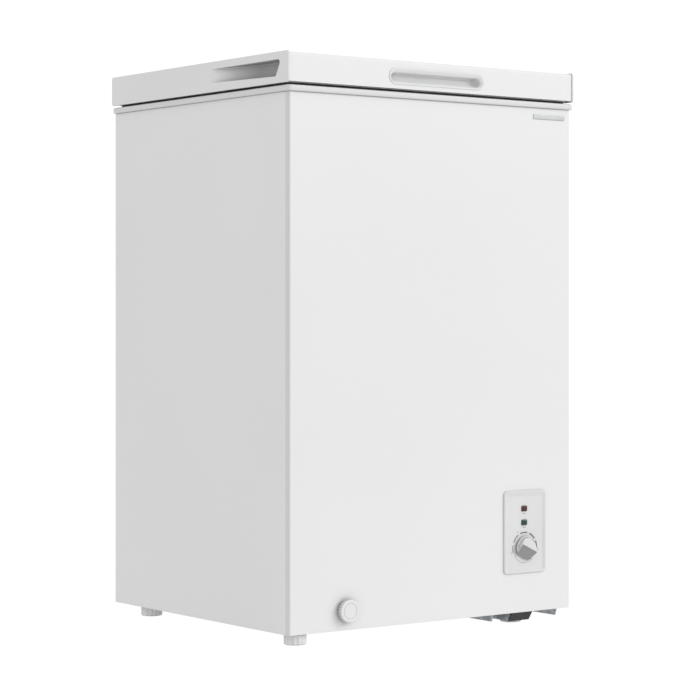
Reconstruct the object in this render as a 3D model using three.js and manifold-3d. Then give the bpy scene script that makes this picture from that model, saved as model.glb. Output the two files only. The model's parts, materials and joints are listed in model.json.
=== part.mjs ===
// A small upright-bodied chest freezer: insulated cabinet, hinged lid, compressor bay, thermostat and basket.
// Millimetres. X runs to the right, Y from the cabinet's front face towards its back, Z up from the floor.
// The part's origin is under the middle of the whole object, on the floor.
import * as THREE from "three";
import { mergeVertices } from "three/addons/utils/BufferGeometryUtils.js";
import Module from "manifold-3d";

const wasm = await Module();
wasm.setup();

// ---- Driving dimensions ----
const HEIGHT = 850;
const CABINET_WIDTH = 536;
const CABINET_DEPTH = 480;
const FOOT_HEIGHT = 16;
const SHEET = 0.8; // steel sheet
const CORNER = 4; // bend radius of the outer sheet's upright corners
const GAP = 0.3; // between pieces that touch
const KNOB_REACH = 14; // knob's face in front of the cabinet
const HINGE_REACH = 9.5; // hinge knuckles behind the cabinet

const OVERHANG = 4.5; // lid past the cabinet on every side
const COLLAR_OVERHANG = 4;
const COLLAR_LOW = 792.4;
const COLLAR_TOP = 801.5;
const LID_LOW = 804.5;
const LID_PROUD = 1.6; // end caps past the lid's sheet

const HALF = CABINET_WIDTH / 2;
const WALL_TOP = COLLAR_LOW - GAP;
const LID_HALF = HALF + OVERHANG;

// Storage tub, its step over the compressor bay, and the bay itself
const TUB = { half: 212, front: 56, back: 424, floor: 76, radius: 20, sheet: 1 };
const STEP = { left: 56, top: 286 };
const BAY = { left: 100, top: 241 };
const COIL_SPACE = 7; // room for the evaporator tube around the tub
const SKIN_SPACE = 6.4; // room for the condenser tube behind the outer sheet

// Control panel on the front
const PANEL = { x: 173.7, z: 139.5, width: 84, height: 127, thick: 3, radius: 6, border: 7 };
const LENS = { x: 173, width: 11, height: 8.8, red: 175.2, green: 153.8 };
const KNOB = { x: 174.1, z: 114.5, radius: 18.7, face: 15.7, height: 10.5, slope: 0.3 };
const SHAFT_RADIUS = 3;
const SHAFT_CLEARANCE = 1.2;
const BADGE = { x: 224, z: 778.7, halfWidth: 32, halfHeight: 3.75, thick: 0.8 };

const DRAIN = { x: -166.7, y: 90, z: 44.8, bore: 7, wall: 3, flange: 15, cap: 17.2, capReach: 11 };
const FLANGE_REACH = 3; // drain flange in front of the cabinet
const FEET = {
  front_left: [-242, 21.5],
  rear_left: [-242, 412.5],
  front_right: [166.5, 24],
  rear_right: [200, 412.5],
};
const FOOT = { radius: 17, rib: 1.2, ribs: 14, bore: 4.2, stud: 4, studTop: 40, seat: 2 };

// Hinges: a pin behind the cabinet, a leaf below it and a leaf above
const PIVOT = { y: CABINET_DEPTH + 5.5, z: 800, pin: 2, bore: 2.06, knuckle: 4 };
const HINGE = { x: 180, width: 62, leaf: 1.5, low: 742, high: 838 };
const HINGE_SCREWS = { low: 760, high: 824, spread: 19 };
const SCREW = { radius: 1.6, head: 4, length: 10 };

// Machinery: the base plate is a sheet on two upright legs
const COMPRESSOR = { x: 187, y: 330, low: 32, radius: 58, height: 138 };
const COMPRESSOR_FEET = { x: 52, y: 34, border: 12, hole: 5.5 };
const SUCTION = { x: 62, z: 84 }; // end of the suction stub, from the compressor's middle
const BASE = { left: 101, right: 266.6, front: 18, back: 478, sheet: 1.5 };
const BASE_LEGS = { left: 126.3, right: 257.3, low: 2.6 };
const DRIER = { x: 150, y: 440, z: 60 };
const RELAY = { x: 114.3, z: 76, halfWidth: 11, halfDepth: 20, height: 46 };
const GRILLE = { rows: 9, low: 58, pitch: 18, slot: 56, slotHeight: 6, columns: [18, 92] };
const GLAND = { x: 30, z: 34, hole: 7.5 };

// Lid parts
const CAP = { edge: 3.5, wall: 2 };
const SCOOP = { front: 12.5, slant: 14, back: 196, low: 814.4, high: 838.6, deep: 23 };
const HANDLE = { half: 90, low: 812.5, high: 837, deep: 21, rim: 1 };
const PLUG = { half: 200, front: 68, back: 412, low: 788, radius: 14, wall: 1.4 };
const GASKET = { inset: 3.5, width: 12, radius: 14 };

// The basket hangs by its rails on ledges along the tub's front and back walls.
const LEDGE = { half: 200, reach: 8, low: 773, top: 777 };
const BASKET = { left: 30, right: 196, low: 600, top: 768, wire: 3.2, across: 5, along: 6 };

// ---- Materials ----
const material = (color, roughness, metalness = 0) =>
  new THREE.MeshStandardMaterial({ color, roughness, metalness });
const whitePaint = material(0xf2f3f3, 0.35);
const whitePlastic = material(0xeeefef, 0.45);
const panelPlastic = material(0xe2e3e4, 0.5);
const linerMetal = material(0xe8eaea, 0.35, 0.4);
const foamYellow = material(0xe6d9a8, 0.95);
const blackRubber = material(0x26282a, 0.8);
const blackPlastic = material(0x1d1e20, 0.5);
const blackPaint = material(0x17181a, 0.35, 0.3);
const galvanised = material(0xa9aeb2, 0.4, 0.9);
const steel = material(0xb9bcc0, 0.3, 1);
const copper = material(0xc07a50, 0.3, 1);
const redLens = material(0x6b1218, 0.2);
const greenLens = material(0x0b4a44, 0.2);
const footPlastic = material(0xd6d8d9, 0.6);

// ---- Solid helpers ----
function toSolid(geometry) {
  const bare = geometry.index ? geometry.clone() : mergeVertices(geometry.clone().deleteAttribute("uv"));
  bare.deleteAttribute("normal");
  bare.deleteAttribute("uv");
  const merged = mergeVertices(bare, 1e-3);
  const mesh = new wasm.Mesh({
    numProp: 3,
    vertProperties: new Float32Array(merged.attributes.position.array),
    triVerts: new Uint32Array(merged.index.array),
  });
  return new wasm.Manifold(mesh);
}

function toGeometry(solid) {
  const { vertProperties, triVerts } = solid.getMesh();
  return new THREE.BufferGeometry()
    .setAttribute("position", new THREE.BufferAttribute(new Float32Array(vertProperties), 3))
    .setIndex(new THREE.BufferAttribute(new Uint32Array(triVerts), 1));
}

const join = (...geometries) => toGeometry(geometries.map(toSolid).reduce((a, b) => a.add(b)));
const cut = (geometry, ...tools) =>
  toGeometry(tools.map(toSolid).reduce((a, b) => a.subtract(b), toSolid(geometry)));

// A box from its low and high corner.
function box(x0, y0, z0, x1, y1, z1) {
  const geometry = new THREE.BoxGeometry(x1 - x0, y1 - y0, z1 - z0);
  return geometry.translate((x0 + x1) / 2, (y0 + y1) / 2, (z0 + z1) / 2);
}

// A cylinder whose axis runs along "x", "y" or "z" from its start point.
function rod(axis, x, y, z, radius, length, sides = 20, endRadius = radius) {
  const geometry = new THREE.CylinderGeometry(endRadius, radius, length, sides).translate(0, length / 2, 0);
  if (axis === "z") geometry.rotateX(Math.PI / 2);
  if (axis === "x") geometry.rotateZ(-Math.PI / 2);
  return geometry.translate(x, y, z);
}

// A closed outline with rounded corners, from points listed anticlockwise with a radius each.
function roundedShape(corners, arcSteps = 4, kind = THREE.Shape) {
  const shape = new kind();
  const points = [];
  corners.forEach(([x, y, radius], i) => {
    const here = new THREE.Vector2(x, y);
    const before = new THREE.Vector2(...corners[(i + corners.length - 1) % corners.length]);
    const after = new THREE.Vector2(...corners[(i + 1) % corners.length]);
    if (!radius) {
      points.push(here);
      return;
    }
    const toBefore = before.sub(here).normalize();
    const toAfter = after.sub(here).normalize();
    const half = Math.acos(THREE.MathUtils.clamp(toBefore.dot(toAfter), -1, 1)) / 2;
    const reach = radius / Math.tan(half);
    const bisector = toBefore.clone().add(toAfter).normalize();
    const centre = here.clone().addScaledVector(bisector, radius / Math.sin(half));
    const start = here.clone().addScaledVector(toBefore, reach).sub(centre);
    const end = here.clone().addScaledVector(toAfter, reach).sub(centre);
    let sweep = end.angle() - start.angle();
    if (sweep > Math.PI) sweep -= 2 * Math.PI;
    if (sweep < -Math.PI) sweep += 2 * Math.PI;
    for (let k = 0; k <= arcSteps; k++) {
      const angle = start.angle() + (sweep * k) / arcSteps;
      points.push(new THREE.Vector2(Math.cos(angle), Math.sin(angle)).multiplyScalar(radius).add(centre));
    }
  });
  shape.setFromPoints(points);
  return shape;
}

const rectangle = (x0, y0, x1, y1, radius = 0, arcSteps = 4, kind = THREE.Shape) =>
  roundedShape([[x0, y0, radius], [x1, y0, radius], [x1, y1, radius], [x0, y1, radius]], arcSteps, kind);

// Extrudes a plan outline (X, Y) upwards from z0 to z1.
const plan = (shape, z0, z1) =>
  new THREE.ExtrudeGeometry(shape, { depth: z1 - z0, bevelEnabled: false }).translate(0, 0, z0);

// Extrudes a front-view outline (X, Z) backwards from y0 to y1.
const elevation = (shape, y0, y1) =>
  new THREE.ExtrudeGeometry(shape, { depth: y1 - y0, bevelEnabled: false })
    .rotateX(Math.PI / 2)
    .translate(0, y1, 0);

// Extrudes a side-view outline (Y, Z) to the right from x0 to x1.
const profile = (shape, x0, x1) =>
  new THREE.ExtrudeGeometry(shape, { depth: x1 - x0, bevelEnabled: false })
    .applyMatrix4(new THREE.Matrix4().set(0, 0, 1, x0, 1, 0, 0, 0, 0, 1, 0, 0, 0, 0, 0, 1));

// A path that an extrusion follows ring by ring, one ring at each of its points.
class PointPath extends THREE.Curve {
  constructor(points) {
    super();
    this.points = points;
  }
  getUtoTmapping(u) {
    return u;
  }
  getPoint(t, target = new THREE.Vector3()) {
    const last = this.points.length - 1;
    const at = Math.min(Math.max(t * last, 0), last);
    const low = Math.min(Math.floor(at + 1e-9), last - 1);
    return target.lerpVectors(this.points[low], this.points[low + 1], at - low);
  }
  getTangent(t, target = new THREE.Vector3()) {
    const last = this.points.length - 1;
    const i = Math.round(t * last);
    const ahead = this.points[Math.min(i + 1, last)].clone().sub(this.points[i]).normalize();
    const behind = this.points[i].clone().sub(this.points[Math.max(i - 1, 0)]).normalize();
    return target.copy(ahead).add(behind).normalize();
  }
}

// The corners of a route, each rounded into a few points.
function roundedRoute(corners, radius, arcSteps = 3) {
  const points = [corners[0]];
  for (let i = 1; i < corners.length - 1; i++) {
    const start = corners[i].clone().add(corners[i - 1].clone().sub(corners[i]).setLength(radius));
    const end = corners[i].clone().add(corners[i + 1].clone().sub(corners[i]).setLength(radius));
    const bend = new THREE.QuadraticBezierCurve3(start, corners[i], end);
    points.push(...bend.getPoints(arcSteps));
  }
  points.push(corners[corners.length - 1]);
  return points;
}

function tube(corners, radius, bend, sides = 6, arcSteps = 3) {
  const points = roundedRoute(corners.map((c) => new THREE.Vector3(...c)), bend, arcSteps);
  const section = new THREE.Shape();
  section.setFromPoints(
    Array.from({ length: sides }, (_, i) => {
      const angle = (2 * Math.PI * i) / sides;
      return new THREE.Vector2(radius * Math.cos(angle), radius * Math.sin(angle));
    }),
  );
  return new THREE.ExtrudeGeometry(section, { steps: points.length - 1, extrudePath: new PointPath(points) });
}

// ---- Scene graph ----
const freezer = new THREE.Group();
const cabinet = new THREE.Group();
const lid = new THREE.Group();
const frontY = KNOB_REACH - (CABINET_DEPTH + KNOB_REACH + HINGE_REACH) / 2;
cabinet.position.y = frontY;
lid.position.y = frontY;
freezer.add(cabinet, lid);

function add(group, name, geometry, look, position = [0, 0, 0]) {
  const mesh = new THREE.Mesh(geometry, look);
  mesh.name = name;
  mesh.position.set(...position);
  group.add(mesh);
  return mesh;
}

// ---- Cabinet shell ----
function outerWrap() {
  const radius = CORNER;
  const back = CABINET_DEPTH;
  const inner = HALF - SHEET;
  const outline = roundedShape([
    [-HALF, 0, radius],
    [HALF, 0, radius],
    [HALF, back, 0],
    [inner, back, 0],
    [inner, SHEET, radius - SHEET],
    [-inner, SHEET, radius - SHEET],
    [-inner, back, 0],
    [-HALF, back, 0],
  ]);
  const wrap = plan(outline, FOOT_HEIGHT, WALL_TOP);
  const panelHole = box(PANEL.x - 30, -1, PANEL.z - 48, PANEL.x + 30, 2, PANEL.z + 48);
  const drainHole = rod("y", DRAIN.x, -1, DRAIN.z, DRAIN.bore + DRAIN.wall + GAP, 3);
  return cut(wrap, panelHole, drainHole);
}

function backPanel() {
  const side = HALF - SHEET - GAP;
  const panel = box(-side, CABINET_DEPTH - SHEET, FOOT_HEIGHT, side, CABINET_DEPTH, WALL_TOP);
  const [before, behind] = [CABINET_DEPTH - 10, CABINET_DEPTH + 10];
  const bayMouth = box(BAY.left + 6, before, FOOT_HEIGHT + 8, side - 6, behind, BAY.top - 8);
  return cut(panel, bayMouth, ...screwHoles(HINGE_SCREWS.low, before, behind));
}

function bottomPanel() {
  const side = HALF - SHEET - GAP;
  const low = FOOT_HEIGHT;
  const sheet = roundedShape([
    [-side, low, 0],
    [BAY.left, low, 0],
    [BAY.left, BAY.top - SHEET, 0],
    [side, BAY.top - SHEET, 0],
    [side, BAY.top, 0],
    [BAY.left - SHEET, BAY.top, 0],
    [BAY.left - SHEET, low + SHEET, 0],
    [-side, low + SHEET, 0],
  ]);
  const panel = elevation(sheet, CORNER - 1, CABINET_DEPTH - SHEET - GAP);
  const studHoles = studTools([FEET.front_left, FEET.rear_left], low - 1);
  return cut(panel, ...studHoles);
}

// Clearance holes for the studs of the feet at some places, from a height upwards.
const studTools = (places, z) => places.map(([x, y]) => rod("z", x, y, z, FOOT.stud + 1, 4));

function topCollar() {
  const bevel = 2.4;
  const side = HALF + COLLAR_OVERHANG;
  const outline = rectangle(-side, -COLLAR_OVERHANG, side, CABINET_DEPTH + COLLAR_OVERHANG, 6);
  const mouth = TUB.half - 1;
  outline.holes.push(rectangle(-mouth, TUB.front + 1, mouth, TUB.back - 1, TUB.radius - 1, 4, THREE.Path));
  const ring = new THREE.ExtrudeGeometry(outline, {
    depth: COLLAR_TOP - COLLAR_LOW - 2 * bevel,
    bevelThickness: bevel,
    bevelSize: bevel,
    bevelOffset: -bevel,
    bevelSegments: 1,
  }).translate(0, 0, COLLAR_LOW + bevel);
  const half = HINGE.width / 2 + 1;
  const notches = [-HINGE.x, HINGE.x].map((x) =>
    box(x - half, CABINET_DEPTH - 0.2, COLLAR_LOW - 1, x + half, CABINET_DEPTH + 10, COLLAR_TOP + 1),
  );
  return cut(ring, ...notches);
}

// The tub's solid shape, grown outwards by a margin: a box with round upright corners less the step.
function tubBlock(margin, top, floorMargin = margin) {
  const half = TUB.half + margin;
  const front = TUB.front - margin;
  const back = TUB.back + margin;
  const low = TUB.floor - floorMargin;
  const whole = plan(rectangle(-half, front, half, back, TUB.radius + margin), low, top);
  return cut(whole, box(STEP.left + margin, front - 1, low - 1, half + 1, back + 1, STEP.top - floorMargin));
}

function innerLiner() {
  const shell = cut(tubBlock(TUB.sheet, WALL_TOP), tubBlock(0, WALL_TOP + 5));
  const drainHole = rod("z", DRAIN.x, DRAIN.y, TUB.floor - 4, DRAIN.bore + DRAIN.wall + GAP, 8);
  const { half, reach, low, top } = LEDGE;
  const root = TUB.sheet / 2;
  const ledges = [
    box(-half, TUB.front - root, low, half, TUB.front + reach, top),
    box(-half, TUB.back - reach, low, half, TUB.back + root, top),
  ];
  return join(cut(shell, drainHole), ...ledges);
}

function foamBody() {
  const side = HALF - SHEET - SKIN_SPACE;
  const low = FOOT_HEIGHT + SHEET + GAP;
  const outline = rectangle(-side, SHEET + SKIN_SPACE, side, CABINET_DEPTH - SHEET - GAP, 12);
  const block = plan(outline, low, WALL_TOP - GAP);
  const bay = box(BAY.left - SHEET - GAP, -1, low - 1, HALF, CABINET_DEPTH + 10, BAY.top + GAP);
  const cavity = tubBlock(TUB.sheet + COIL_SPACE, WALL_TOP, TUB.sheet + GAP);
  const channel = DRAIN.bore + DRAIN.wall + 1;
  const down = rod("z", DRAIN.x, DRAIN.y, DRAIN.z, channel, TUB.floor - DRAIN.z, 12);
  const forward = rod("y", DRAIN.x, 0, DRAIN.z, channel, DRAIN.y + channel, 12);
  const pockets = [FEET.front_left, FEET.rear_left].map(([x, y]) => rod("z", x, y, low - 1, 7, 30, 10));
  const screwRoom = SCREW.radius + 0.6;
  const screws = screwHoles(HINGE_SCREWS.low, CABINET_DEPTH - 20, CABINET_DEPTH + 10, screwRoom);
  return cut(block, bay, cavity, down, forward, ...pockets, ...screws);
}

// The evaporator winds round the tub above the step; the condenser runs to and fro behind the outer sheet.
function evaporatorCoil() {
  const radius = 2.4;
  const out = TUB.half + TUB.sheet + COIL_SPACE / 2;
  const front = TUB.front - TUB.sheet - COIL_SPACE / 2;
  const back = TUB.back + TUB.sheet + COIL_SPACE / 2;
  const middle = (front + back) / 2;
  const turns = 5;
  const low = STEP.top + 40;
  const rise = (WALL_TOP - 70 - low) / turns;
  const corners = [[out, middle, low]];
  for (let i = 0; i < turns; i++) {
    const z = low + i * rise;
    corners.push([out, back, z]);
    corners.push([-out, back, z + rise / 4]);
    corners.push([-out, front, z + rise / 2]);
    corners.push([out, front, z + (3 * rise) / 4]);
  }
  corners.push([out, middle, low + turns * rise]);
  return tube(corners, radius, TUB.radius + 8, 5, 3);
}

function condenserCoil() {
  const radius = 2.6;
  const out = HALF - SHEET - SKIN_SPACE / 2;
  const front = SHEET + SKIN_SPACE / 2;
  const back = CABINET_DEPTH - 40;
  const low = BAY.top + 60;
  const runs = 5;
  const rise = (WALL_TOP - 60 - low) / (runs - 1);
  const corners = [];
  for (let i = 0; i < runs; i++) {
    const z = low + i * rise;
    const run = [[-out, back, z], [-out, front, z], [out, front, z], [out, back, z]];
    corners.push(...(i % 2 ? run.reverse() : run));
  }
  return tube(corners, radius, 10, 5, 2);
}

// ---- Cooling machinery in the bay ----
function basePlate() {
  const { left, right, sheet } = BASE;
  const { left: legLeft, right: legRight, low: legLow } = BASE_LEGS;
  const low = FOOT_HEIGHT + GAP;
  const top = low + sheet;
  const section = roundedShape([
    [left, low, 0],
    [legLeft, low, 0],
    [legLeft, legLow, 0],
    [legLeft + sheet, legLow, 0],
    [legLeft + sheet, low, 0],
    [legRight - sheet, low, 0],
    [legRight - sheet, legLow, 0],
    [legRight, legLow, 0],
    [legRight, low, 0],
    [right, low, 0],
    [right, top, 0],
    [left, top, 0],
  ]);
  const plate = elevation(section, BASE.front, BASE.back);
  const { front } = BASE;
  const ahead = front - 8;
  const tip = low - 1;
  const slant = roundedShape([[ahead, 0, 0], [front + 5, 0, 0], [front - 0.5, tip, 0], [ahead, tip, 0]]);
  const slantedEnd = profile(slant, left - 11, HALF);
  const holes = studTools([FEET.front_right, FEET.rear_right], low - 1);
  return join(cut(plate, slantedEnd, ...holes), footBracket());
}

// The walls that stand round the front right foot, welded under the base plate.
function footBracket() {
  const [x, y] = FEET.front_right;
  const wall = 1.2;
  const half = FOOT.radius + 2.5;
  const outer = box(x - half, y - 19, 3.5, x + half, y + 19, FOOT_HEIGHT + GAP + 0.6);
  const hollow = box(x - half + wall, y - 30, 0, x + half - wall, y + 19 - wall, 30);
  return cut(outer, hollow);
}

// The black plate across the bracket's front.
function bracketFront() {
  const [x, y] = FEET.front_right;
  const top = FOOT_HEIGHT - GAP;
  const outline = roundedShape([[x - 22, 3.5, 0], [x + 19, 3.5, 0], [x + 27, top, 0], [x - 15, top, 0]]);
  return elevation(outline, y - 21.2, y - 19 - GAP);
}

// A turned solid about the vertical axis, from (radius, height) points.
const turned = (points, sides) =>
  new THREE.LatheGeometry(points.map(([r, h]) => new THREE.Vector2(r, h)), sides).rotateX(Math.PI / 2);

function compressor() {
  const { radius, height } = COMPRESSOR;
  const seam = radius * 1.05;
  const outline = [
    [0, 0],
    [radius * 0.72, 0],
    [radius * 0.93, 10],
    [radius, 26],
    [radius, 58],
    [seam, 60],
    [seam, 66],
    [radius, 68],
    [radius, height - 36],
    [radius * 0.9, height - 14],
    [radius * 0.6, height - 3],
    [0, height],
  ];
  const shell = turned(outline, 18).scale(1, 0.86, 1).translate(0, 0, 2);
  const { x: dx, y: dy, border, hole } = COMPRESSOR_FEET;
  const feet = plan(rectangle(-dx - border, -dy - border, dx + border, dy + border, 10, 3), -1, 2.2);
  const holes = [-dx, dx].flatMap((x) => [-dy, dy].map((y) => rod("z", x, y, -3, hole, 8, 12)));
  const suctionStub = rod("x", radius * 0.8, 0, SUCTION.z, 4, SUCTION.x - GAP - radius * 0.8, 10);
  return cut(join(shell, feet, suctionStub), ...holes);
}

function grommet() {
  return turned([[3, 0], [9, 0], [9, 12], [5, 12.6], [5, 16.4], [8.5, 17], [8.5, 20], [3, 20], [3, 0]], 8);
}

function filterDrier() {
  const can = turned([[0, 0], [2.5, 0], [3, 6], [8, 12], [8, 74], [3, 82], [2.2, 90], [0, 90]], 12);
  const capillary = tube([[0, 0, 84], [0, 0, 112], [0, -40, 112], [-20, -40, 112]], 1.6, 8, 5, 3);
  return join(can, capillary);
}

function suctionTube() {
  const z = COMPRESSOR.low + SUCTION.z;
  const x = COMPRESSOR.x + SUCTION.x;
  const y = COMPRESSOR.y;
  const end = [x + 9, y + 90, BAY.top - SHEET - GAP];
  return tube([[x, y, z], [x + 9, y, z], [x + 9, y + 90, z], end], 3.2, 4, 6, 3);
}

function dischargeTube() {
  const { x, y, low, height } = COMPRESSOR;
  const top = low + height + 2 + GAP;
  const end = [x, y + 70, BAY.top - SHEET - GAP];
  return tube([[x, y, top], [x, y, top + 20], [x, y + 70, top + 20], end], 2.6, 8, 6, 3);
}

// ---- Front fittings ----
function panelBezel() {
  const { width, height, thick, radius, border } = PANEL;
  const outline = rectangle(-width / 2, -height / 2, width / 2, height / 2, radius, 5);
  const bevel = 1;
  const plate = new THREE.ExtrudeGeometry(outline, {
    depth: thick - GAP - 2 * bevel,
    bevelThickness: bevel,
    bevelSize: bevel,
    bevelOffset: -bevel,
    bevelSegments: 1,
  }).rotateX(Math.PI / 2).translate(0, -GAP - bevel, 0);
  const inner = rectangle(-width / 2 + border, -height / 2 + 4, width / 2 - border, height / 2 - 8, 4);
  const recess = elevation(inner, -thick - 2, -thick + 0.8);
  const lensHoles = [LENS.red, LENS.green].map((z) =>
    box(
      LENS.x - PANEL.x - LENS.width / 2,
      -10,
      z - PANEL.z - LENS.height / 2,
      LENS.x - PANEL.x + LENS.width / 2,
      10,
      z - PANEL.z + LENS.height / 2,
    ),
  );
  const shaftHole = rod("y", KNOB.x - PANEL.x, -10, KNOB.z - PANEL.z, SHAFT_RADIUS + SHAFT_CLEARANCE, 20, 16);
  return cut(plate, recess, ...lensHoles, shaftHole);
}

function lens() {
  const half = LENS.width / 2 - GAP;
  const rise = LENS.height / 2 - GAP;
  const front = elevation(rectangle(-half, -rise, half, rise, 1.2, 3), -2.6, 8);
  return join(front, rod("y", 0, 7.5, 0, 3.4, 12, 12));
}

function thermostatBody() {
  const block = box(-18, 6, -16, 18, 36, 20);
  const bush = rod("y", 0, 1.5, 0, 6, 6, 16);
  const bore = rod("y", 0, -1, 0, SHAFT_RADIUS + 0.06, 30, 20);
  return cut(join(block, bush), bore);
}

// The knob's face falls away like a roof on both sides of a ridge across its middle.
function thermostatKnob() {
  const { radius, face, height, slope } = KNOB;
  const skirt = [[0, 0], [radius, 0], [radius, 2], [face + 1, height - 2.5], [face, height], [0, height]];
  const body = new THREE.LatheGeometry(skirt.map(([x, y]) => new THREE.Vector2(x, y)), 28);
  const ridgeHalf = 1.3;
  const facets = [1, -1].map((side) => {
    const tool = box(-30, 0, 0, 30, 20, 30).rotateX(slope).translate(0, height, ridgeHalf);
    return side > 0 ? tool : tool.rotateY(Math.PI);
  });
  const ridged = cut(body, ...facets);
  const spigot = rod("y", 0, -1, 0, SHAFT_RADIUS, 26, 20);
  return join(ridged.rotateX(Math.PI).rotateY(0.45), spigot);
}

function drainTube() {
  const route = (radius, front, top) =>
    join(
      rod("z", DRAIN.x, DRAIN.y, DRAIN.z, radius, top - DRAIN.z, 16),
      rod("y", DRAIN.x, front, DRAIN.z, radius, DRAIN.y + 4 - front, 16),
    );
  const outer = route(DRAIN.bore + DRAIN.wall, -2, TUB.floor - TUB.sheet - GAP);
  const flange = rod("y", DRAIN.x, -FLANGE_REACH, DRAIN.z, DRAIN.flange, FLANGE_REACH - GAP, 24);
  return cut(join(outer, flange), route(DRAIN.bore, -6, TUB.floor + 4));
}

function drainCap() {
  const grips = 20;
  const points = Array.from({ length: grips * 2 }, (_, i) => {
    const angle = (Math.PI * i) / grips;
    const radius = i % 2 ? DRAIN.cap : DRAIN.cap - 0.7;
    return new THREE.Vector2(radius * Math.cos(angle), radius * Math.sin(angle));
  });
  const shape = new THREE.Shape();
  shape.setFromPoints(points);
  const front = -DRAIN.capReach;
  const disc = elevation(shape, front, -FLANGE_REACH - GAP);
  const groove = cut(rod("y", 0, front - 1, 0, 12.4, 2), rod("y", 0, front - 2, 0, 11.4, 4));
  const spigot = rod("y", 0, -4, 0, DRAIN.bore - 0.4, 14, 16);
  return join(cut(disc, groove), spigot);
}

function drainPlug() {
  const stem = DRAIN.bore - 0.5;
  return turned([[0, 0], [stem, 0], [stem, 15.6], [14, 15.6], [14, 18], [5, 18.6], [5, 25], [0, 25]], 18);
}

function rearGrille() {
  const front = CABINET_DEPTH + GAP;
  const plate = box(BAY.left + 2, front, FOOT_HEIGHT + 3, HALF - 6, front + 1, BAY.top - 3);
  const { rows, low, pitch, slot, slotHeight, columns } = GRILLE;
  const slots = [];
  for (let i = 0; i < rows; i++) {
    const z = low + i * pitch;
    for (const x of columns) {
      slots.push(box(BAY.left + x, front - 10, z, BAY.left + x + slot, front + 10, z + slotHeight));
    }
  }
  const glandHole = rod("y", BAY.left + GLAND.x, front - 10, GLAND.z, GLAND.hole, 20, 16);
  return cut(plate, ...slots, glandHole);
}

function cordGland() {
  const ring = [[3.6, 0], [7.2, 0], [7.2, 6], [10, 6.2], [9, 9], [5.4, 9.2], [3.6, 9.2], [3.6, 0]];
  return new THREE.LatheGeometry(ring.map(([x, y]) => new THREE.Vector2(x, y)), 12);
}

// ---- Feet ----
function footPad() {
  const steps = FOOT.ribs * 2;
  const points = Array.from({ length: steps }, (_, i) => {
    const angle = (2 * Math.PI * i) / steps;
    const radius = i % 2 ? FOOT.radius : FOOT.radius - FOOT.rib;
    return new THREE.Vector2(radius * Math.cos(angle), radius * Math.sin(angle));
  });
  const shape = new THREE.Shape();
  shape.setFromPoints(points);
  const ribbed = plan(shape, 0, FOOT_HEIGHT - 2 * GAP);
  return cut(ribbed, rod("z", 0, 0, FOOT.seat, FOOT.bore, 20, 16));
}

const footStud = () => rod("z", 0, 0, FOOT.seat + GAP, FOOT.stud, FOOT.studTop - FOOT.seat - GAP, 16);

// ---- Hinges ----
function hingeLeaf(onLid) {
  const { y, z, knuckle, bore } = PIVOT;
  const half = HINGE.width / 2;
  const third = HINGE.width / 3;
  const plateY = onLid ? CABINET_DEPTH + OVERHANG + GAP : CABINET_DEPTH + GAP;
  const plate = onLid
    ? box(-half, plateY, z, half, plateY + HINGE.leaf, HINGE.high)
    : box(-half, plateY, HINGE.low, half, plateY + HINGE.leaf, z);
  const clear = knuckle + 0.4;
  const inner = third / 2;
  const spans = onLid ? [[-half, -inner - GAP], [inner + GAP, half]] : [[-inner, inner]];
  const away = onLid ? [[-inner - GAP, inner + GAP]] : [[-half - 1, -inner], [inner, half + 1]];
  const reliefs = away.map(([a, b]) => rod("x", a, y, z, clear, b - a, 16));
  const barrels = spans.map(([a, b]) => rod("x", a, y, z, knuckle, b - a, 16));
  const leaf = join(cut(plate, ...reliefs), ...barrels);
  const pinBore = rod("x", -half - 2, y, z, bore, HINGE.width + 4, 16);
  const screwZ = onLid ? HINGE_SCREWS.high : HINGE_SCREWS.low;
  const holes = [-1, 1].map((side) =>
    rod("y", side * HINGE_SCREWS.spread, plateY - 2, screwZ, SCREW.radius + GAP, HINGE.leaf + 4, 8),
  );
  return cut(leaf, pinBore, ...holes);
}

function hingeScrew() {
  const { radius, head, length } = SCREW;
  const shank = [[0, -length], [radius, -length], [radius, GAP]];
  const points = [...shank, [head, GAP], [head - 0.6, 2], [radius, 2.6], [0, 2.6]];
  return new THREE.LatheGeometry(points.map(([x, y]) => new THREE.Vector2(x, y)), 8);
}

// Holes for both hinges' screws at one height, through whatever lies between two depths.
const screwHoles = (z, y0, y1, radius = SCREW.radius + GAP) =>
  [-HINGE.x, HINGE.x].flatMap((x) =>
    [-1, 1].map((side) => rod("y", x + side * HINGE_SCREWS.spread, y0, z, radius, y1 - y0, 8)),
  );

// ---- Lid ----
function lidSheet() {
  const front = -OVERHANG + LID_PROUD;
  const back = CABINET_DEPTH + OVERHANG - 0.4;
  const low = LID_LOW + LID_PROUD;
  const top = HEIGHT - LID_PROUD;
  const hem = 6;
  const outline = roundedShape([
    [front, low, 0],
    [front + hem, low, 0],
    [front + hem, low + SHEET, 0],
    [front + SHEET, low + SHEET, 0],
    [front + SHEET, top - SHEET, 3.2],
    [back - SHEET, top - SHEET, 3.2],
    [back - SHEET, low + SHEET, 0],
    [back - hem, low + SHEET, 0],
    [back - hem, low, 0],
    [back, low, 0],
    [back, top, 4],
    [front, top, 4],
  ]);
  const end = LID_HALF - CAP.edge - GAP;
  const sheet = profile(outline, -end, end);
  const { half, low: handleLow, high: handleHigh } = HANDLE;
  const margin = 2.4;
  const opening = rectangle(-half + margin, handleLow + margin, half - margin, handleHigh - margin, 9.6, 6);
  const screws = screwHoles(HINGE_SCREWS.high, CABINET_DEPTH - 2, CABINET_DEPTH + 12);
  return cut(sheet, elevation(opening, -20, 5), ...screws);
}

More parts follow.
